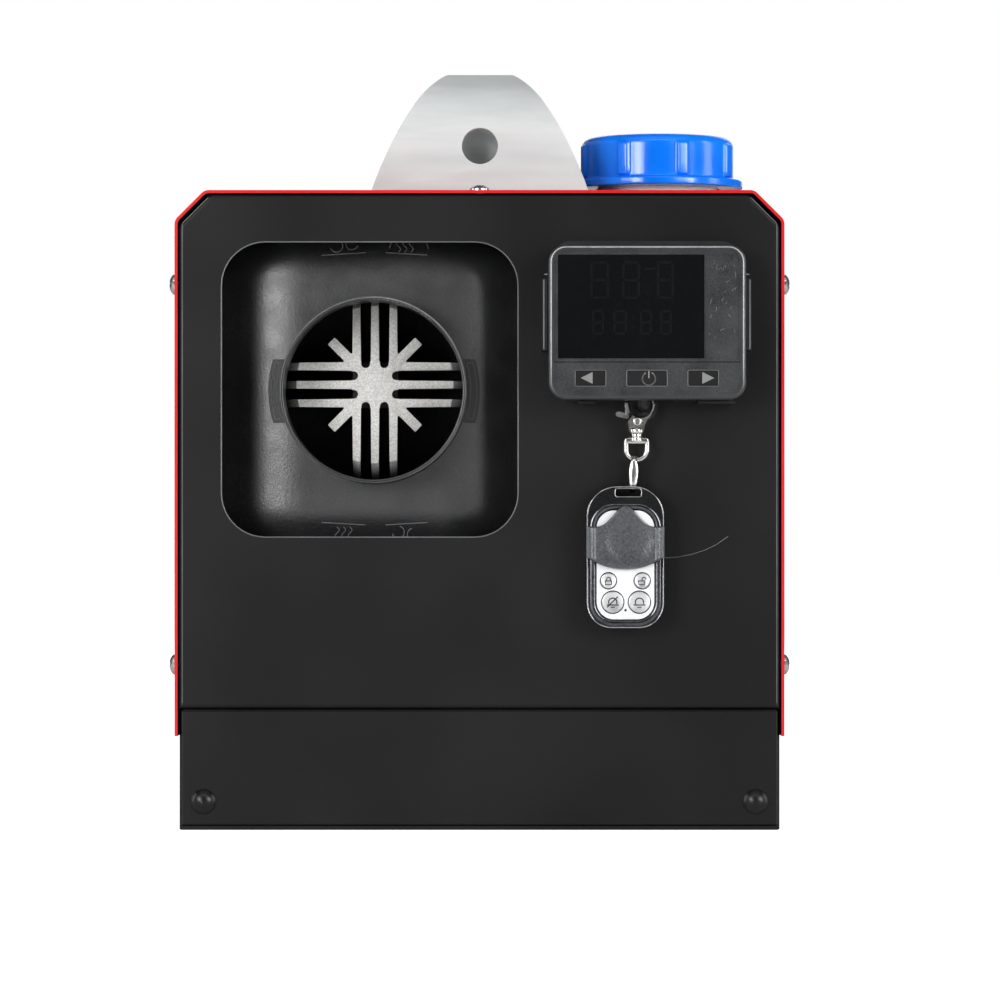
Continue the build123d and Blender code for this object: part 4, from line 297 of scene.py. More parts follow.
def shell(front, back):
    # two open grids of one size, joined round their borders into a closed shell
    front, back = np.asarray(front, float), np.asarray(back, float)
    border = [np.s_[0, :-1], np.s_[:-1, -1], np.s_[-1, :0:-1], np.s_[:0:-1, 0]]
    points, faces = skin(front, closed=False)
    more, moreFaces = skin(back, closed=False)
    count = len(points)
    index = np.arange(count).reshape(front.shape[:2])
    ring = np.concatenate([index[part] for part in border])
    nextRing = np.roll(ring, -1)
    rim = np.stack([ring, nextRing, nextRing + count, ring + count], -1).tolist()
    faces = faces + (np.array(moreFaces) + count).tolist() + rim
    return np.concatenate([points, more]), faces


def closedMesh(name, parts):
    # joins the parts into one mesh, merges poles and turns faces outwards
    points, faces, start = [], [], 0
    for partPoints, partFaces in parts:
        points.append(np.asarray(partPoints, float))
        faces += [[i + start for i in face] for face in partFaces]
        start += len(partPoints)
    mesh = bpy.data.meshes.new(name)
    mesh.from_pydata((np.concatenate(points) * mm).tolist(), [], faces)
    work = bmesh.new()
    work.from_mesh(mesh)
    bmesh.ops.remove_doubles(work, verts=work.verts, dist=0.5e-6)
    bmesh.ops.recalc_face_normals(work, faces=work.faces)
    work.to_mesh(mesh)
    work.free()
    mesh.shade_smooth()
    return mesh


def makePiece(name, parts, body, slotName, sharp=38.0, look=None):
    # a mesh of its own, set on its body
    mesh = closedMesh(name, parts)
    mesh.set_sharp_from_angle(angle=math.radians(sharp))
    piece = bpy.data.objects.new(name, mesh)
    scene.collection.objects.link(piece)
    mesh.materials.append(look or looks[slotName])
    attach(piece, body)
    return piece


def roundedOutline(x, z, width, height, corner, inset=0.0, steps=10, lower=None):
    # rounded rectangle about (x, z): a quarter circle at each corner, all sides moved in by inset
    corners = [corner, corner, lower or corner, lower or corner]
    signs = [(1, 1), (-1, 1), (-1, -1), (1, -1)]
    turn = np.linspace(0, math.pi / 2, steps)
    arcs = []
    for k, (radius, (sx, sz)) in enumerate(zip(corners, signs)):
        angle = turn + k * math.pi / 2
        reach = max(radius - inset, 0.02)
        arcs.append(np.stack([x + sx * (width / 2 - radius) + reach * np.cos(angle),
                              z + sz * (height / 2 - radius) + reach * np.sin(angle)], -1))
    return np.concatenate(arcs)


def upright(outline, y):
    # an outline in X and Z, stood up at depth y
    outline = np.asarray(outline, float)
    return np.stack([outline[:, 0], np.full(len(outline), float(y)), outline[:, 1]], -1)


def roundedSlab(x, z, width, height, corner, back, front, edge):
    # slab whose front edge is a quarter round of radius edge: inset edge(1 - cos a), depth edge(1 - sin a)
    rows = [upright(roundedOutline(x, z, width, height, corner), back)]
    for a in np.linspace(0, math.pi / 2, 6):
        outline = roundedOutline(x, z, width, height, corner, edge * (1 - math.cos(a)))
        rows.append(upright(outline, front + edge * (1 - math.sin(a))))
    return skin(rows)


def roundedFrame(x, z, width, height, corner, section, lower=None, steps=12):
    # closed ring along a rounded rectangle; section gives (inset, depth) points round its profile
    rows = [upright(roundedOutline(x, z, width, height, corner, inset, steps, lower), depth)
            for inset, depth in section]
    rows.append(rows[0])
    return skin(rows, capped=False)


def halfRound(inset, width, base, proud, steps=9):
    # section of a bead: flat at the back, half an ellipse at the front
    turn = np.linspace(0, math.pi, steps)
    middle = inset + width / 2
    return [(middle - width / 2 * math.cos(a), base - proud * math.sin(a)) for a in turn]


def turned(profile, centre, axis="z", columns=64, swell=None):
    # profile of (radius, height) pairs turned about an axis; swell(angle, height) adds to the radius
    profile = np.asarray(profile, float)
    angle = np.linspace(0, 2 * math.pi, columns, endpoint=False)
    radius = profile[:, :1] + (0 if swell is None else swell(angle[None, :], profile[:, 1:], profile[:, :1]))
    across, along = radius * np.cos(angle), radius * np.sin(angle)
    height = np.repeat(profile[:, 1:], columns, 1)
    order = {"z": (across, along, height), "y": (across, height, along)}[axis]
    return skin(np.stack(order, -1) + np.asarray(centre, float), capped=False)


def strokes(lines, width, y, proud, joint=6):
    # flat raised lines in the X-Z plane: each run is a bar with round ends, proud of depth y
    parts = []
    for line in lines:
        for (x0, z0), (x1, z1) in zip(line[:-1], line[1:]):
            along = math.atan2(z1 - z0, x1 - x0)
            cap = np.linspace(-math.pi / 2, math.pi / 2, joint)
            ends = [(x1, z1, along + cap), (x0, z0, along + math.pi + cap)]
            outline = np.concatenate([np.stack([cx + width / 2 * np.cos(a), cz + width / 2 * np.sin(a)], -1)
                                      for cx, cz, a in ends])
            parts.append(skin([upright(outline, y), upright(outline, y - proud)]))
    return parts


def arcLine(x, z, radius, start, end, steps=12):
    # points along a circle's arc, angles in degrees
    turn = np.radians(np.linspace(start, end, steps))
    return list(zip(x + radius * np.cos(turn), z + radius * np.sin(turn)))


def softened(nodeName, pieceName, width, body, cutters=None):
    # a node's own shape, less the cutters, with its edges eased as tumbling or the mould leaves them
    mesh = frame["nodes"][nodeName].data.copy()
    mesh.name = pieceName
    work = bmesh.new()
    work.from_mesh(mesh)
    bmesh.ops.remove_doubles(work, verts=work.verts, dist=1e-6)
    bmesh.ops.dissolve_limit(work, angle_limit=math.radians(1.0), verts=work.verts, edges=work.edges)
    work.to_mesh(mesh)
    work.free()
    mesh.shade_smooth()
    piece = bpy.data.objects.new(pieceName, mesh)
    scene.collection.objects.link(piece)
    if cutters:
        tool = bpy.data.objects.new("slotTool", closedMesh("slotTool", cutters))
        scene.collection.objects.link(tool)
        cut = piece.modifiers.new("cutSlots", "BOOLEAN")
        cut.operation, cut.solver, cut.object = "DIFFERENCE", "EXACT", tool
        whole = piece.evaluated_get(bpy.context.evaluated_depsgraph_get())
        piece.data = bpy.data.meshes.new_from_object(whole)
        piece.modifiers.clear()
        bpy.data.objects.remove(tool)
    bevel = piece.modifiers.new("easedEdges", "BEVEL")
    bevel.width, bevel.segments = width * mm, 2
    bevel.limit_method, bevel.angle_limit = "ANGLE", math.radians(32.0)
    bevel.harden_normals = True
    bevel.use_clamp_overlap = True
    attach(piece, body)
    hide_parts(nodeName)
    return piece


# filler cap: a thick blue moulding with eight broad ribs and a collar
cap = {"x": 74.0, "y": -115.0, "bottom": 261.6, "footRound": 0.8, "collar": 35.5, "collarTop": 265.1,
       "rimRound": 0.9, "radius": 31.8, "rib": 1.4, "ribHalf": 2.45, "ribTop": 279.8, "ribRound": 1.4,
       "ribs": 8, "phase": 17.0, "shoulder": 282.8, "round": 4.0, "crown": 283.6, "bore": 25.5,
       "ceiling": 279.0, "columns": 432}


def ribSwell(angle, height, radius):
    # each rib is a flat-topped ridge that fades into the collar and rounds off at its top
    step = 2 * math.pi / cap["ribs"]
    phase = math.radians(-90 + cap["phase"])
    away = np.abs((angle - phase + step / 2) % step - step / 2) * cap["radius"]
    ridge = 1 / (1 + (away / cap["ribHalf"]) ** 12)
    low = np.clip((height - cap["collarTop"] - 0.6) / 0.8, 0, 1)
    over = np.clip(height - cap["ribTop"] + cap["ribRound"], 0, cap["ribRound"]) / cap["ribRound"]
    high = np.sqrt(np.clip(1 - over ** 2, 0, 1))
    outside = (radius > cap["bore"] + 3.5) * (radius < cap["radius"] + 1.0)
    return cap["rib"] * ridge * low * high * outside


quarter = np.linspace(0, math.pi / 2, 7)
capProfile = [(0.0, cap["ceiling"]), (24.5, cap["ceiling"]), (cap["bore"], 278.0), (cap["bore"], 262.6),
              (26.0, cap["bottom"])]
foot, rim = cap["footRound"], cap["rimRound"]
capProfile += [(cap["collar"] - foot + foot * math.sin(a), cap["bottom"] + foot - foot * math.cos(a))
               for a in quarter]
capProfile += [(cap["collar"] - rim + rim * math.cos(a), cap["collarTop"] - rim + rim * math.sin(a))
               for a in quarter]
capProfile += [(32.5, cap["collarTop"] + 0.1), (31.9, cap["collarTop"] + 0.5)]
straight = (265.9, 266.4, 268.0, 271.0, 274.0, 277.0, 278.4, cap["shoulder"] - cap["round"])
capProfile += [(cap["radius"], z) for z in straight]
capProfile += [(cap["radius"] - cap["round"] * (1 - math.cos(a)),
                cap["shoulder"] - cap["round"] * (1 - math.sin(a)))
               for a in np.linspace(0.12, math.pi / 2, 12)]
capProfile += [(27.0, 283.0), (24.0, 283.2), (16.0, 283.4), (8.0, cap["crown"]), (0.0, cap["crown"])]
capShape = turned(capProfile, (cap["x"], cap["y"], 0.0), "z", cap["columns"], ribSwell)
capPiece = makePiece("fillerCapMoulding", [capShape], "cap", "cap_plastic", 50.0)
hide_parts("filler_cap")
print("filler cap made")


# case screws: low domed heads with a cross recess; seats on the sides, the top and the deck inside
screw = {"radius": 4.05, "height": 2.5, "shank": 2.0, "length": 2.7, "slot": 0.55, "reach": 2.3, "deep": 1.3,
         "turn": 0.4, "columns": 96}
seats = {"side": 122.0, "end": 188.0, "sideRows": (66.0, 218.5), "top": 256.0,
         "deck": 3.0, "deckX": (-107.0, 18.5), "deckY": (-125.0, 135.0)}


def screwShape(seat, outwards):
    # polar height field: the dome falls off with the radius to the power 2.6, less the cross of two slots
    angle = np.linspace(0, 2 * math.pi, screw["columns"], endpoint=False)
    radii = np.array([0.0, 0.25, 0.45, 0.6, 0.8, 1.1, 1.4, 1.7, 1.95, 2.1, 2.25, 2.4, 2.7, 3.1, 3.5, 3.8,
                      3.98, screw["radius"]])
    r, a = np.meshgrid(radii, angle, indexing="ij")
    dome = screw["height"] * (1 - 0.62 * (r / screw["radius"]) ** 2.6)
    across = np.minimum(np.abs(r * np.sin(a)), np.abs(r * np.cos(a)))
    slotted = np.clip((screw["slot"] - across) / 0.16 + 0.5, 0, 1)
    cut = slotted * np.clip((screw["reach"] - r) / 0.2 + 0.5, 0, 1)
    height = dome - cut * (screw["deep"] * (1 - 0.35 * r / screw["reach"]))
    tail = [(screw["radius"], 0.0), (screw["shank"], 0.0), (screw["shank"], -screw["length"]),
            (0.0, -screw["length"])]
    radius = np.concatenate([r] + [np.full((1, screw["columns"]), t[0]) for t in tail])
    height = np.concatenate([height] + [np.full((1, screw["columns"]), t[1]) for t in tail])
    turnAngle = np.concatenate([a] + [a[:1]] * len(tail)) + screw["turn"]
    u, v = radius * np.cos(turnAngle), radius * np.sin(turnAngle)
    n = np.asarray(outwards, float)
    first = np.array([0.0, 1.0, 0.0])
    second = np.cross(n, first)
    rows = np.asarray(seat, float) + u[..., None] * first + v[..., None] * second + height[..., None] * n
    return skin(rows, capped=False)


screwSeats = [((side * seats["side"], end * seats["end"], z), (side, 0, 0))
              for side in (-1, 1) for end in (-1, 1) for z in seats["sideRows"]]
screwSeats += [((0.0, end * seats["end"], seats["top"]), (0, 0, 1)) for end in (-1, 1)]
screwSeats += [((x, y, seats["deck"]), (0, 0, 1)) for x in seats["deckX"] for y in seats["deckY"]]
screwShapes = [screwShape(seat, outwards) for seat, outwards in screwSeats]
screwPiece = makePiece("crossRecessScrews", screwShapes, "case", "zinc_steel", 30.0)
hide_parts("case_screws")
print("screws made")


# duct hood: a domed moulding round the duct's bore, with raised generic signs for turning and for warm air
hood = {"x": -42.8, "z": 176.2, "face": -171.9, "back": -130.0, "half": (69.0, 74.0), "fall": (41.0, 28.0),
        "round": 62.0, "bore": 37.8, "wall": 2.2, "proud": 0.3, "sunk": 0.8, "sign": 0.36,
        "ear": (39.2, 41.6), "earHalf": 0.285}
hoodTurn = np.linspace(0, 2 * math.pi, 240, endpoint=False)


def hoodReach(radius):
    # how far a point has left the flat middle: 0 on it, 1 at the hood's outline
    across = np.maximum(np.abs(radius * np.cos(hoodTurn)) - (hood["half"][0] - hood["fall"][0]), 0)
    up = np.maximum(np.abs(radius * np.sin(hoodTurn)) - (hood["half"][1] - hood["fall"][1]), 0)
    return np.hypot(across / hood["fall"][0], up / hood["fall"][1])


def hoodFall(away):
    # depth below the face for a reach of 0 to 1, a circle's arc: R - sqrt(R^2 - d^2)
    return hood["round"] - np.sqrt(hood["round"] ** 2 - (hood["fall"][0] * np.minimum(away, 1)) ** 2)


def hoodRow(radius, depth):
    # one loop round the bore, at a radius for each direction
    across, up = hood["x"] + radius * np.cos(hoodTurn), hood["z"] + radius * np.sin(hoodTurn)
    return np.stack([across, depth + np.zeros_like(hoodTurn), up], -1)


# outline by halving: the radius at which each direction reaches 1
nearSide, farSide = np.zeros_like(hoodTurn), np.full_like(hoodTurn, 130.0)
for k in range(30):
    middle = (nearSide + farSide) / 2
    inside = hoodReach(middle) < 1
    nearSide, farSide = np.where(inside, middle, nearSide), np.where(inside, farSide, middle)
hoodRows, liningRows = [], []
for share in np.sin(np.linspace(0, math.pi / 2, 44)):
    radius = hood["bore"] + (nearSide - hood["bore"]) * share
    fall = hoodFall(hoodReach(radius))
    hoodRows.append(hoodRow(radius, hood["face"] + fall))
    liningRows.append(hoodRow(np.minimum(radius, nearSide - hood["wall"]),
                              hood["face"] + hood["wall"] + fall))
hoodRows += [hoodRow(nearSide, hood["back"]), hoodRow(nearSide - hood["wall"], hood["back"])]
hoodRows += liningRows[::-1]
hoodShape = skin(hoodRows + hoodRows[:1], capped=False)
hoodPiece = makePiece("domedOutletHood", [hoodShape], "case", "black_plastic")
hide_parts("outlet_hood")


def warmAirSign(x, z, flip):
    # three short waves side by side: x swings by a sine along the height
    turn = np.linspace(0, 1, 10)
    return [list(zip(x + offset + 0.8 * np.sin(2 * math.pi * turn), z + flip * 4.6 * turn))
            for offset in (-2.6, 0.0, 2.6)]


def turnSign(x, z, flip):
    # two open rings side by side, each a long arc
    return [arcLine(x - 3.1, z + flip * 0.6, 2.5, 200, 430, 14),
            arcLine(x + 3.1, z + flip * 1.6, 2.5, 110, 340, 14)]


hoodLines = turnSign(-55.0, 234.4, 1) + warmAirSign(-30.4, 232.6, 1)
hoodLines += warmAirSign(-55.2, 121.0, -1) + turnSign(-30.0, 119.6, -1)
hoodLines += [[(-64.0, 231.2), (-46.4, 232.3)], [(-38.0, 232.3), (-21.4, 231.3)]]
hoodLines += [[(-64.0, 122.9), (-46.6, 121.9)], [(-38.0, 121.9), (-21.4, 122.9)]]
hoodLines += [[(-37.4, 231.6), (-35.4, 238.0)], [(-20.0, 231.0), (-22.0, 238.0)]]
# the ring's rim is painted bright on its crest and towards the top: a painted highlight
rimMaterial = paintedHighlightEdge("nylonRimPaintedHighlight", "3A3B3D", "808183", (-189.2, -190.0), (110.0, 215.0), (0.2, 0.36))
# one pale grey for thin edges, frames and raised signs on black parts: a painted highlight for the light they
# catch
edgeHighlightMaterial = mouldedPlastic("paintedEdgeHighlights", "606163", "505153", (0.3, 0.4), 0.5, 0.01, 1.53)
signParts = []
for line in hoodLines:
    for start, end in zip(line[:-1], line[1:]):
        # each short bar lies at the dome's depth for its own height
        height = abs((start[1] + end[1]) / 2 - hood["z"])
        up = max(height - hood["half"][1] + hood["fall"][1], 0) / hood["fall"][1]
        depth = hood["face"] + hoodFall(up)
        signParts += strokes([[start, end]], hood["sign"], depth + hood["sunk"], hood["sunk"] + hood["proud"])
# the raised signs take the pale edge grey: a painted highlight
makePiece("hoodMouldedSigns", signParts, "case", "black_plastic", look=edgeHighlightMaterial)
earTurns = np.linspace(-hood["earHalf"], hood["earHalf"], 9)
earCorners = [(hood["ear"][1], t) for t in earTurns] + [(hood["ear"][0], -t) for t in earTurns]
earLines = []
for side in (-1, 1):
    outer = [(hood["x"] + side * r * math.cos(a), hood["z"] + r * math.sin(a)) for r, a in earCorners]
    earLines.append(outer + outer[:1])
rimProfile = [(36.1, -189.0), (36.2, -189.75), (36.6, -190.0), (37.1, -190.0), (37.55, -189.6),
              (37.6, -188.8), (37.3, -188.4), (36.4, -188.4), (36.1, -189.0)]
rimShape = turned(rimProfile, (hood["x"], 0.0, hood["z"]), "y", 160)
makePiece("ringRimHighlight", [rimShape], "case", "black_plastic", look=rimMaterial)
earFrames = strokes(earLines, 0.32, hood["face"] + 0.1, 0.35)
makePiece("ringEarFrameHighlights", earFrames, "case", "black_plastic", look=edgeHighlightMaterial)
print("hood made")


# controller: printed key signs, dim unlit digits, a dark line for the seam above the keys, which is a painted
# shadow of its groove, and scratches on the side strip
control = {"x": 66.5, "z": 202.4, "width": 78.4, "height": 61.7, "corner": 7.0, "field": -214.7,
           "keyFace": -214.4, "keyRow": 180.2, "keyHeight": 6.7, "seam": 186.6,
           "keys": ((44.0, 12.0), (66.35, 15.9), (88.6, 12.0))}
strip = {"left": (91.0, 101.5), "rows": (190.0, 228.0), "right": 102.0, "top": 228.8, "scratches": 26}


def triangleSign(x, z, size, side):
    # arrow head that points to its side
    base, tip = x - side * size * 0.5, x + side * size * 0.5
    outline = np.array([(base, z - size * 0.5), (tip, z), (base, z + size * 0.5)])
    return skin([upright(outline, control["keyFace"] + 0.02), upright(outline, control["keyFace"] - 0.05)])


signMaterial = mouldedPlastic("greyScreenPrint", "858685", "747574", (0.5, 0.6), 0.3, 0.004, 1.5)
makePiece("leftKeySign", [triangleSign(42.5, 180.3, 4.7, -1)], "key_left", "key_rubber", look=signMaterial)
makePiece("rightKeySign", [triangleSign(90.6, 180.3, 4.7, 1)], "key_right", "key_rubber", look=signMaterial)
powerLines = [arcLine(67.1, 180.0, 2.6, 122, 418, 24), [(67.1, 180.4), (67.1, 183.0)]]
powerShape = strokes(powerLines, 0.5, control["keyFace"] + 0.02, 0.07)
makePiece("powerKeySign", powerShape, "key_power", "key_rubber", look=signMaterial)
# the seam is a dark raised line: a painted shadow standing in for its groove
seamHalf = control["width"] / 2 - 2.6
seamLines = [[(control["x"] - seamHalf, control["seam"]), (control["x"] + seamHalf, control["seam"])]]
makePiece("caseSeamShadowLine", strokes(seamLines, 0.28, control["field"] + 0.02, 0.05), "case", "lens_plastic")
scratches = np.random.default_rng(7)
scratchLines = []
for k in range(strip["scratches"]):
    x, z = scratches.uniform(*strip["left"]), scratches.uniform(*strip["rows"])
    lean, reach = scratches.uniform(0.3, 2.4), scratches.uniform(0.4, 2.2)
    end = (min(x + reach * math.cos(lean), strip["right"]), min(z + reach * math.sin(lean), strip["top"]))
    scratchLines.append([(x, z), end])
# one pale grey for real scratches and for painted highlights on the cradle's ear edges
scratchAndHighlightMaterial = mouldedPlastic("absScratchesAndEdgeHighlights", "7D7F80", "5E6061", (0.4, 0.5), 0.3, 0.004, 1.54)
scratchShapes = strokes(scratchLines, 0.12, control["field"] + 0.33, 0.05)
makePiece("stripScratches", scratchShapes, "case", "controller_plastic", look=scratchAndHighlightMaterial)

segments = [((0, 2), (1, 2)), ((1, 2), (1, 1)), ((1, 1), (1, 0)), ((0, 0), (1, 0)), ((0, 1), (0, 0)),
            ((0, 2), (0, 1)), ((0, 1), (1, 1))]


def digit(x, z, width, height, gap):
    # seven bars on a two-square ladder, each shortened at its ends
    lines = []
    for (u0, v0), (u1, v1) in segments:
        du, dv = np.sign(u1 - u0) * gap, np.sign(v1 - v0) * gap
        lines.append([(x + u0 * width + du, z + v0 * height / 2 + dv),
                      (x + u1 * width - du, z + v1 * height / 2 - dv)])
    return lines


digitLines = []
for left, right in ((44.4, 50.8), (57.0, 63.1), (70.8, 76.5)):
    digitLines += digit(left, 212.0, right - left, 14.0, 0.9)
for left, right in ((45.0, 48.9), (53.5, 58.0), (64.0, 67.9), (71.9, 75.8)):
    digitLines += digit(left, 197.8, right - left, 8.9, 0.7)
digitLines += [[(65.4, 223.5), (69.2, 223.5)], [(66.5, 213.8), (66.5, 214.2)],
               [(61.0, 200.4), (61.0, 200.8)], [(61.0, 204.2), (61.0, 204.6)]]
digitMaterial = mouldedPlastic("unlitDisplaySegments", "121314", "0F1011", (0.1, 0.14), 3.0, 0.002, 1.49, 0.4)
digitShapes = strokes(digitLines, 0.9, control["field"] + 0.02, 0.04)
makePiece("unlitDigits", digitShapes, "case", "display_glass", look=digitMaterial)
print("controller signs made")


# edges painted pale or bright as painted highlights: the panel's opening and folds, the controller's bead,
# key openings and ears
panel = {"x": -43.9, "z": 176.2, "width": 118.6, "height": 118.0, "corner": 17.5, "front": -194.9,
         "fold": 118.9, "foot": 51.0, "shoulder": 242.6, "cut": (108.6, 252.9)}
openingEdge = roundedFrame(panel["x"], panel["z"], panel["width"], panel["height"], panel["corner"],
                           halfRound(-0.35, 0.55, panel["front"], 0.18))
makePiece("openingEdgeHighlight", [openingEdge], "case", "black_sheet", look=edgeHighlightMaterial)
foldedEdges = [[(side * panel["fold"], panel["foot"]), (side * panel["fold"], panel["shoulder"]),
                (side * panel["cut"][0], panel["cut"][1])] for side in (-1, 1)]
makePiece("panelFoldHighlights", strokes(foldedEdges, 0.32, -194.95, 0.12), "case", "black_sheet",
          look=edgeHighlightMaterial)
# the bead's crest and top are painted bright: a painted highlight
beadMaterial = paintedHighlightEdge("absBeadPaintedHighlight", "2A2B2D", "A8A9AB", (-214.75, -215.0), (172.0, 192.0), (0.18, 0.34))
beadShape = roundedFrame(control["x"], control["z"], control["width"], control["height"], control["corner"],
                         halfRound(0.3, 2.3, -213.95, 1.04, 13), steps=16)
makePiece("controllerBead", [beadShape], "case", "controller_plastic", look=beadMaterial)
keySection = halfRound(0.0, 0.36, control["field"] + 0.04, 0.16)
keyFrames = [roundedFrame(x, control["keyRow"], width + 0.5, control["keyHeight"], 0.9, keySection)
             for x, width in control["keys"]]
makePiece("keyOpeningHighlights", keyFrames, "case", "controller_plastic", look=edgeHighlightMaterial)
# pale lines on the cradle's ear edges: a painted highlight
earSides = [[(side * 40.9 + control["x"], 192.0), (side * 40.9 + control["x"], 219.3)] for side in (-1, 1)]
earSides += [[(side * 39.6 + control["x"], 221.6), (side * 40.5 + control["x"], 221.6)] for side in (-1, 1)]
earShapes = strokes(earSides, 0.5, -208.95, 0.2)
makePiece("cradleEarEdgeHighlights", earShapes, "case", "controller_plastic", look=scratchAndHighlightMaterial)

# a long fine scratch in the panel's coating beside the fob
panelScratch = [(73.4, 108.8), (79.4, 109.2), (85.4, 110.4), (90.2, 112.0), (94.8, 114.2), (99.4, 117.4)]
scratchShape = strokes([panelScratch], 0.16, -194.98, 0.04)
makePiece("panelScratch", scratchShape, "case", "black_sheet", look=scratchAndHighlightMaterial)
print("edges made")


# key fob: dark body, chrome rim and inner band, silver plate, slid cover with a dished thumb rest
fob = {"x": 58.0, "z": 109.3, "width": 31.0, "height": 56.8, "top": 12.0, "bottom": 10.0, "rim": -206.4,
       "face": -206.9}
fobGloss = scuffedPlastic("darkGlossAbsFob", "101113", "08090A", (0.14, 0.22), 0.9, 0.02, 0.5)
fobRim = roundedFrame(fob["x"], fob["z"], fob["width"], fob["height"], fob["top"],
                      halfRound(0.05, 0.85, fob["rim"], 0.95), fob["bottom"])
makePiece("fobOuterRim", [fobRim], "fob", "fob_chrome")
# the band keeps to the plate's outline, 2.7 larger all round
fobBand = roundedFrame(58.05, 106.2, 23.1, 43.4, 7.0, halfRound(-2.7, 2.3, fob["face"], 0.45))
smokedChrome = workedMetal("smokedChromeBand", "6B6C70", "4A4B4E", (0.16, 0.26), 1.2, 0.004)
makePiece("fobInnerBand", [fobBand], "fob", "fob_chrome", look=smokedChrome)
slotRim = roundedFrame(59.2, 134.9, 10.9, 3.7, 1.2, halfRound(0.0, 0.4, fob["face"], 0.25))
makePiece("fobSlotRim", [slotRim], "fob", "fob_chrome")
frame["nodes"]["fob_case"].data.materials[0] = fobGloss
cradleMaterial = scuffedPlastic("mattBlackAbsCradle", "161718", "0E0F10", (0.38, 0.5), 0.6, 0.03, 0.35)
for nodeName in ("controller_bracket", "controller_back"):
    frame["nodes"][nodeName].data.materials[0] = cradleMaterial

# sliding cover: u runs across, v from the lower edge to the upper; both edges are curves of u
cover = {"half": 15.5, "shoulder": 121.5, "peak": 130.1, "side": 109.3, "bottom": 104.5, "crest": -209.5,
         "edge": -207.75, "back": -207.55}
u = np.linspace(-1, 1, 161)
v = np.linspace(0, 1, 49)
crown = np.clip(1 - np.abs(u) / 0.98, 0, 1) ** 0.5
bell = (0.5 + 0.5 * np.cos(np.pi * np.clip(np.abs(u) / 0.72, 0, 1))) ** 0.9
upper = cover["shoulder"] + (cover["peak"] - cover["shoulder"]) * crown * bell
lower = cover["bottom"] + (cover["side"] - cover["bottom"]) * np.abs(u) ** 2.2
coverX = fob["x"] + cover["half"] * u
coverZ = lower[None, :] + (upper - lower)[None, :] * v[:, None]
away = np.minimum(coverZ - lower[None, :], upper[None, :] - coverZ)
sideFall = 1 - np.clip((np.abs(u) - 0.8) / 0.2, 0, 1) ** 2
rimFall = np.clip(away / 0.9, 0, 1)
roundOff = np.sqrt(np.clip(1 - (1 - rimFall) ** 2, 0, 1))
dish = 0.75 * np.exp(-(((coverX[None, :] - 59.6) / 8.8) ** 2 + ((coverZ - 116.0) / 8.0) ** 2) ** 3)
dish = dish + 0.22 * np.exp(-((np.abs(coverX[None, :] - fob["x"]) - 12.2) / 0.3) ** 2)
lift = (cover["edge"] - cover["crest"]) * sideFall[None, :] * (0.35 + 0.65 * roundOff) - dish * roundOff
coverFront = np.stack([np.broadcast_to(coverX, coverZ.shape), cover["edge"] - lift, coverZ], -1)
coverBack = coverFront.copy()
coverBack[..., 1] = cover["back"]
coverPiece = makePiece("fobSlidingCover", [shell(coverFront, coverBack)], "fob_cover", "fob_dark", 42.0)
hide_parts("fob_slide_cover")


# fob keys: chromed domes in a shallow rim, with generic signs; the dark ring round each key is a painted
# shade
keyPlan = {"key_upper_left": (51.3, 99.9, 3.05, "fob_key_1"),
           "key_upper_right": (64.7, 99.9, 3.05, "fob_key_2"),
           "key_lower_left": (53.0, 91.4, 4.25, "fob_key_3"),
           "key_lower_right": (63.6, 91.4, 4.25, "fob_key_4")}
rimSection = [(0.05, -206.8), (0.08, -207.05), (0.25, -207.13), (0.42, -207.05), (0.45, -206.8),
              (0.05, -206.8)]
satinKey = workedMetal("satinChromeKey", "F2F2F3", "DCDDDE", (0.3, 0.4), 0.5, 0.006)
keySignMaterial = mouldedPlastic("engravedKeySign", "26272A", "1D1E20", (0.4, 0.5), 0.5, 0.004, 1.5)
keyShadeRings = []
for node, (x, z, radius, body) in keyPlan.items():
    profile = [(0.0, -205.4), (radius, -205.4)]
    fall = np.linspace(0, math.pi / 2, 6)
    profile += [(radius - 0.35 + 0.35 * math.cos(a), -207.0 - 0.3 * math.sin(a)) for a in fall]
    profile += [(radius - 0.7, -207.26), (radius * 0.7, -207.18), (radius * 0.35, -207.12), (0.0, -207.1)]
    dome = turned(profile, (x, 0.0, z), "y", 48)
    piece = makePiece(node.replace("key", "domeKey"), [dome], body, "fob_chrome", 30.0, satinKey)
    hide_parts(node)
    # a dark gloss ring round each key: painted shade
    keyShadeRings.append(turned([(radius + grow, depth) for grow, depth in rimSection], (x, 0.0, z), "y", 48))
makePiece("fobKeyShadeRings", keyShadeRings, "fob", "fob_dark", look=fobGloss)


def padlock(x, z, size, opened):
    # body square with a bow above; the open one swings its bow aside
    left, right, foot, top = x - size, x + size, z - size, z + 0.2 * size
    lines = [[(left, foot), (right, foot), (right, top), (left, top), (left, foot)]]
    shift = 0.9 * size if opened else 0.0
    bow = [(x - 0.6 * size + shift, top)] + arcLine(x + shift, z + 0.75 * size, 0.6 * size, 180, 0, 8)
    return lines + [bow + ([] if opened else [(x + 0.6 * size, top)])]


def ringingBell(x, z, size):
    # a brim, a dome and a clapper
    brim, clapper = z - 0.6 * size, z - 1.0 * size
    return [[(x - size, brim), (x + size, brim)], arcLine(x, z - 0.1 * size, 0.75 * size, -20, 200, 12),
            [(x - 0.3 * size, clapper), (x + 0.3 * size, clapper)]]


def crossedBell(x, z, size):
    # the bell with a stroke through it
    return ringingBell(x, z, size) + [[(x - size, z - size), (x + size, z + size)]]


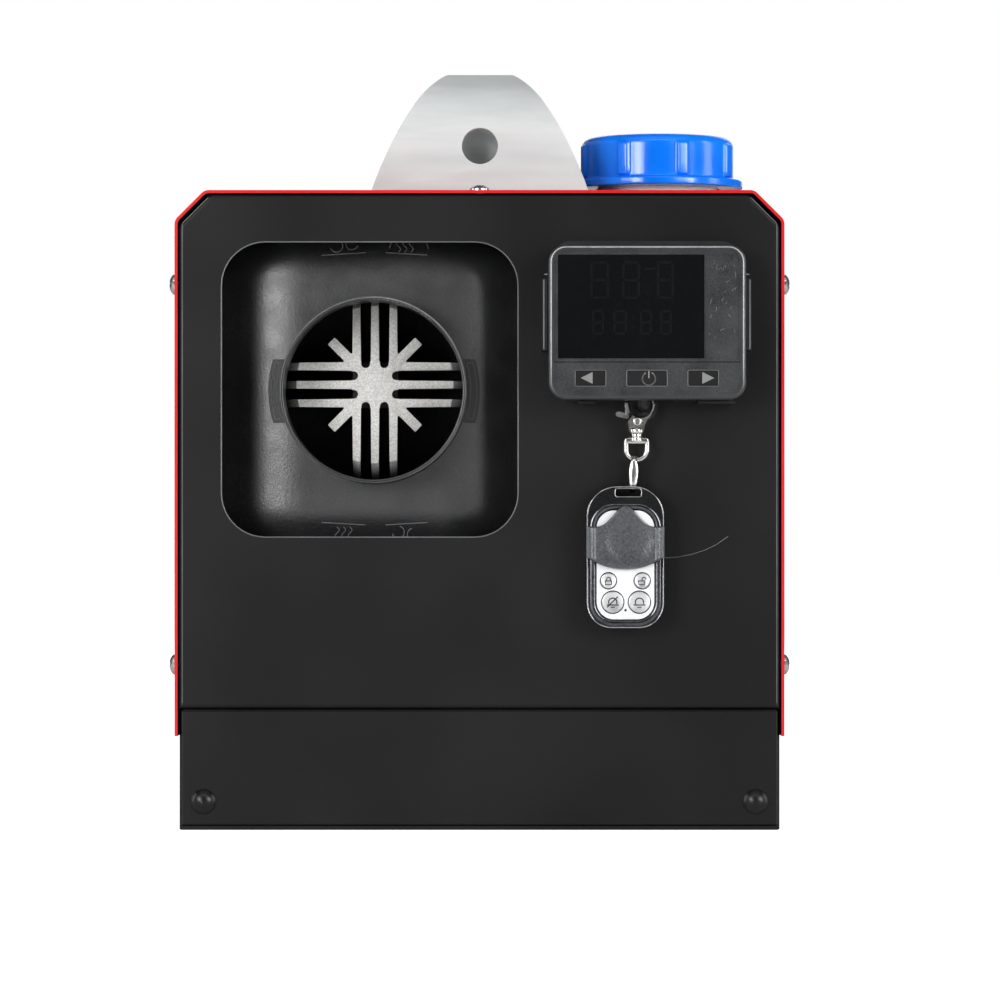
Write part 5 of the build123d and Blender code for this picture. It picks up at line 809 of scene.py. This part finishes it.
keySigns = [("lockSign", padlock(51.3, 99.6, 1.25, False), 0.38),
            ("unlockSign", padlock(64.3, 99.6, 1.25, True), 0.38),
            ("quietSign", crossedBell(53.0, 91.6, 2.2), 0.45),
            ("alarmSign", ringingBell(63.6, 91.6, 2.2), 0.45)]
for (name, lines, width), (x, z, radius, body) in zip(keySigns, keyPlan.values()):
    makePiece(name, strokes(lines, width, -207.05, 0.14), body, "fob_dark", look=keySignMaterial)
lampProfile = [(0.0, -206.6), (0.55, -206.6), (0.55, -206.98), (0.35, -207.12), (0.0, -207.16)]
makePiece("fobSignalLamp", [turned(lampProfile, (58.1, 0.0, 88.2), "y", 24)], "fob", "fob_dark",
          look=fobGloss)
print("fob made")


# edges eased on the cast, pressed and moulded pieces that the CAD gives sharp
softened("carry_handle", "handleMoulding", 1.6, "case")
# the star's slots run on into its hub with round ends
star = {"x": -42.8, "z": 178.9, "slot": 3.8, "end": 8.7, "reach": 10.6, "radius": 1.82, "front": -161.0,
        "deep": 8.5}
slotLines = [[(along * star[end], side * star["slot"]) for end in ("end", "reach")]
             for along in (-1, 1) for side in (-1, 1)]
slotLines += [[(b, a) for a, b in line] for line in slotLines]
slotLines = [[(star["x"] + a, star["z"] + b) for a, b in line] for line in slotLines]
slotCutters = strokes(slotLines, 2 * star["radius"], star["front"] + star["deep"], star["deep"], 10)
softened("heat_exchanger", "castHeatExchanger", 0.35, "case", slotCutters)
print("edges eased")


# lobster clasp: wedge-shaped casting with a tall eye, its left side the sprung gate, a swivel under it
clasp = {"eye": (64.2, 169.3), "front": -203.75, "back": -200.25, "ease": 0.7, "axis": (62.6, -202.0),
         "gate": (166.0, 210.0), "heel": 229.0, "hook": 510.0}
claspOuter = [(59.6, 158.6), (59.1, 161.5), (58.5, 164.6), (57.7, 168.6), (58.0, 172.4), (60.2, 174.3),
              (64.0, 174.6), (68.0, 174.0), (69.9, 172.0), (70.0, 169.3), (68.9, 166.4), (67.0, 163.6),
              (65.8, 161.2), (65.5, 158.6), (62.6, 158.6)]
claspInner = [(60.0, 171.2), (60.2, 168.6), (61.0, 166.6), (63.2, 165.4), (66.0, 165.7), (67.7, 167.4),
              (68.2, 169.8), (67.6, 171.8), (64.6, 173.0), (61.4, 172.8)]


def reachAt(outline, angles):
    # radius of an outline seen from the eye's middle, at each angle in degrees, its corners a little rounded
    x, z = np.array(outline).T - np.array(clasp["eye"])[:, None]
    turn = np.degrees(np.arctan2(z, x)) % 360
    fine = np.arange(0, 360, 1.0)
    radius = np.interp(fine, turn, np.hypot(x, z), period=360)
    for k in range(4):
        radius = (np.roll(radius, 1) + 2 * radius + np.roll(radius, -1)) / 4
    return np.interp(angles % 360, fine, radius, period=360)


def claspBand(start, end, front, back):
    # part of the ring between two angles; each section is a rectangle with eased corners
    angles = np.linspace(start, end, int((end - start) / 2.5) + 2)
    inner, outer, ease = reachAt(claspInner, angles), reachAt(claspOuter, angles), clasp["ease"]
    corners = [(inner + ease, front), (outer - ease, front), (outer, front + ease), (outer, back - ease),
               (outer - ease, back), (inner + ease, back), (inner, back - ease), (inner, front + ease)]
    turn = np.radians(angles)
    x, z = clasp["eye"]
    rows = [np.stack([x + r * np.cos(turn), np.full(len(turn), y), z + r * np.sin(turn)], -1)
            for r, y in corners]
    return skin(np.stack(rows, 1))


def wireAlong(path, radius, columns=16):
    # round wire along a run of points in the clasp's own upright plane
    path = np.array(path, float)
    run = np.gradient(path, axis=0)
    run /= np.linalg.norm(run, axis=1)[:, None]
    turn = np.linspace(0, 2 * math.pi, columns, endpoint=False)
    depth = clasp["axis"][1] + radius * np.sin(turn)
    rows = [np.stack([x - tz * radius * np.cos(turn), depth, z + tx * radius * np.cos(turn)], -1)
            for (x, z), (tx, tz) in zip(path, run)]
    return skin(rows)


barrel = [(0.0, 158.4), (2.6, 158.4), (3.0, 158.8), (3.0, 160.2), (2.6, 160.7), (0.0, 160.7)]
rivet = [(0.0, -203.2), (1.75, -203.2), (1.75, -203.9), (1.5, -204.2), (1.2, -204.25), (0.95, -204.1),
         (0.8, -203.5), (0.0, -203.45)]
claspParts = [claspBand(clasp["heel"], clasp["hook"], clasp["front"], clasp["back"]),
              turned(barrel, (*clasp["axis"], 0.0), "z", 48), turned(rivet, (62.9, 0.0, 163.3), "y", 32)]
claspPiece = makePiece("claspCasting", claspParts, "clasp", "chrome_metal", 45.0)
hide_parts("clasp_body")
gateParts = [claspBand(*clasp["gate"], clasp["front"] + 0.5, clasp["back"] - 0.5)]
gateParts += strokes([[(58.6, 165.4), (55.3, 166.2)]], 2.1, -201.2, 1.7, 10)
gatePiece = makePiece("claspGate", gateParts, "gate", "chrome_metal", 45.0)
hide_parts("clasp_gate")
bowTurn = np.linspace(math.pi, 2 * math.pi, 25)
bow = [(58.45, 155.6), (58.45, 154.0)]
bow += [(62.6 + 4.15 * math.cos(a), 152.15 + 4.15 * math.sin(a)) for a in bowTurn]
bow += [(66.75, 154.0), (66.75, 155.6)]
swivelHead = [(0.0, 155.0), (2.2, 155.0), (2.4, 155.3), (2.4, 157.0), (2.1, 157.3), (2.4, 157.6),
              (2.3, 158.2), (0.0, 158.2)]
swivelParts = [wireAlong(bow, 1.0), roundedSlab(62.6, 155.6, 9.6, 2.5, 1.0, -200.8, -203.2, 0.6),
               turned(swivelHead, (*clasp["axis"], 0.0), "z", 40)]
swivelPiece = makePiece("swivelBow", swivelParts, "swivel", "chrome_metal", 45.0)
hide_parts("swivel_ring")


# pressed link: a closed loop of strip from the swivel's bow to the fob's slot, broadest halfway down
link = {"x": 61.3, "top": 149.20, "bottom": 135.80, "bend": 2.75, "thick": 1.0, "narrow": 1.15, "swell": 0.55,
        "lean": 0.3, "crown": 0.4}
linkCentre, linkSpan = (link["top"] + link["bottom"]) / 2, (link["top"] - link["bottom"]) / 2


def linkLoop(grow):
    # stadium in the Y-Z plane: straight runs and half circles, moved out by grow
    bend, half = link["bend"] + grow, linkSpan - link["bend"]
    arc, run = np.linspace(0, math.pi, 14), np.linspace(-half, half, 12)[1:-1]
    out = np.concatenate([bend * np.cos(arc), np.full(len(run), -bend), -bend * np.cos(arc),
                          np.full(len(run), bend)])
    up = np.concatenate([half + bend * np.sin(arc), run[::-1], -half - bend * np.sin(arc), run])
    return clasp["axis"][1] + out, linkCentre + up


linkInner = linkLoop(0.0)
linkHeight = (linkLoop(link["thick"])[1] - linkCentre) / linkSpan
linkHalf = link["narrow"] + link["swell"] * np.cos(math.pi / 2 * np.clip(linkHeight, -1, 1)) ** 2
linkMiddle = link["x"] + link["lean"] * linkHeight
# the outside is crowned: across its width it falls by crown times t squared
linkRows = [np.stack([linkMiddle + t * linkHalf, *linkLoop(link["thick"] - link["crown"] * t * t)], -1)
            for t in (-1, -0.8, -0.5, 0, 0.5, 0.8, 1)]
linkRows += [np.stack([linkMiddle + t * linkHalf, *linkInner], -1) for t in (1, -1)]
linkShape = skin(linkRows + linkRows[:1], capped=False)
linkPiece = makePiece("pressedLink", [linkShape], "link", "chrome_metal", 30.0)
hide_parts("link_strip")
print("clasp made")


# controller lead: leaves the notch under the controller, turns in through the grommet and ends in its plug
lead = {"radius": 2.4, "plug": (21.0, -184.0, 169.4),
        "route": [(65.3, -209.0, 175.55), (65.3, -209.0, 169.4), (65.3, -184.0, 169.4),
                  (33.0, -184.0, 169.4)]}
leadCurve = bpy.data.curves.new("controllerLeadJacket", "CURVE")
leadCurve.dimensions = "3D"
leadSpline = leadCurve.splines.new("NURBS")
leadSpline.points.add(len(lead["route"]) - 1)
for point, place in zip(leadSpline.points, lead["route"]):
    point.co = (*[value * mm for value in place], 1.0)
leadSpline.order_u = 3
leadSpline.use_endpoint_u = True
leadSpline.resolution_u = 24
leadCurve.bevel_depth = lead["radius"] * mm
leadCurve.bevel_resolution = 6
leadCurve.use_fill_caps = True
leadCurve.materials.append(looks["lead_jacket"])
leadPiece = bpy.data.objects.new("controllerLeadJacket", leadCurve)
scene.collection.objects.link(leadPiece)
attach(leadPiece, "case")
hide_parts("controller_lead")
# ribbed plug: rounded squares of half width and place along X
plugTurns = [(4.4, 0.0), (4.5, 0.3), (4.5, 2.4), (4.1, 2.6), (4.1, 3.2), (4.5, 3.4), (4.5, 5.6), (4.1, 5.8),
             (4.1, 6.4), (4.5, 6.6), (4.5, 9.5), (3.6, 10.4), (3.2, 12.0)]
plugRows = []
for half, along in plugTurns:
    across, up = roundedOutline(0.0, 0.0, 2 * half, 2 * half, 1.2, 0.0, 5).T
    plugRows.append(np.stack([np.full(len(up), along), across, up], -1) + lead["plug"])
plugPiece = makePiece("leadPlug", [skin(plugRows)], "case", "lead_jacket")
print("lead made")


# studio: two soft boxes in front to both sides, strips beside for the edges, low boxes and a high one for the
# hood and the rings, a weak one above and one behind; places and sizes in metres
studio = {
    "keyLeft": {"at": (-1.25, -1.75, 0.75), "size": (0.9, 0.9), "power": 16.0},
    "keyRight": {"at": (1.25, -1.75, 0.75), "size": (0.9, 0.9), "power": 17.0},
    "stripLeft": {"at": (-1.3, -0.35, 0.35), "size": (0.3, 1.2), "power": 5.0},
    "stripRight": {"at": (1.3, -0.35, 0.35), "size": (0.3, 1.2), "power": 5.0},
    "lowLeft": {"at": (-1.05, -2.1, 0.42), "size": (0.55, 0.7), "power": 12.5},
    "lowRight": {"at": (1.5, -1.6, 0.42), "size": (0.28, 0.7), "power": 9.0},
    "highFront": {"at": (0.0, -1.6, 1.5), "size": (1.6, 0.3), "power": 4.0},
    "topBox": {"at": (0.0, -0.7, 1.4), "size": (1.6, 0.8), "power": 2.0},
    "backFill": {"at": (0.3, 1.9, 0.9), "size": (1.4, 1.2), "power": 8.0},
}
aim = Vector((0.0, -0.1, 0.15))
for name, box in studio.items():
    light = bpy.data.lights.new(name, "AREA")
    light.shape = "RECTANGLE"
    light.size, light.size_y = box["size"]
    light.energy = box["power"]
    lamp = bpy.data.objects.new(name, light)
    lamp.location = box["at"]
    lamp.rotation_euler = (aim - Vector(box["at"])).to_track_quat("-Z", "Y").to_euler()
    scene.collection.objects.link(lamp)

world = bpy.data.worlds.new("studioWorld")
world.use_nodes = True
world.node_tree.nodes.clear()
sight = addNode(world.node_tree, "LightPath").outputs["Is Camera Ray"]
level = addNode(world.node_tree, "MapRange", {"Value": sight, "To Min": 0.1, "To Max": 1.0})
glow = addNode(world.node_tree, "Background", {"Color": (1, 1, 1, 1), "Strength": level})
addNode(world.node_tree, "OutputWorld", {"Surface": glow})
scene.world = world

# white table, glowing only towards the camera so that it burns out as in the photograph
floorMaterial, floorTree, floorPlace = newMaterial("paleStudioTable")
floorGrain = addNode(floorTree, "TexNoise", {"Vector": floorPlace, "Scale": perMetre(60.0)})
floorTones = {0: floorGrain, 6: "F4F4F4", 7: "FAFAFA"}
floorColour = addNode(floorTree, "Mix", floorTones, data_type="RGBA").outputs[2]
floorSight = addNode(floorTree, "LightPath").outputs["Is Camera Ray"]
floorGlow = addNode(floorTree, "MapRange", {"Value": floorSight, "To Min": 0.0, "To Max": 0.95})
floorMaps = {"Base Color": floorColour, "Emission Strength": floorGlow}
floorShader = addNode(floorTree, "BsdfPrincipled", floorMaps)
floorShader.inputs["Roughness"].default_value = 0.8
floorShader.inputs["Emission Color"].default_value = (1, 1, 1, 1)
addNode(floorTree, "OutputMaterial", {"Surface": floorShader})
floorMesh = bpy.data.meshes.new("studioTable")
floorHalf = 6.0
floorCorners = [(x * floorHalf, y * floorHalf, 0) for x, y in ((-1, -1), (1, -1), (1, 1), (-1, 1))]
floorMesh.from_pydata(floorCorners, [], [(0, 1, 2, 3)])
floorMesh.materials.append(floorMaterial)
floor = bpy.data.objects.new("studioTable", floorMesh)
scene.collection.objects.link(floor)
print("studio lit")
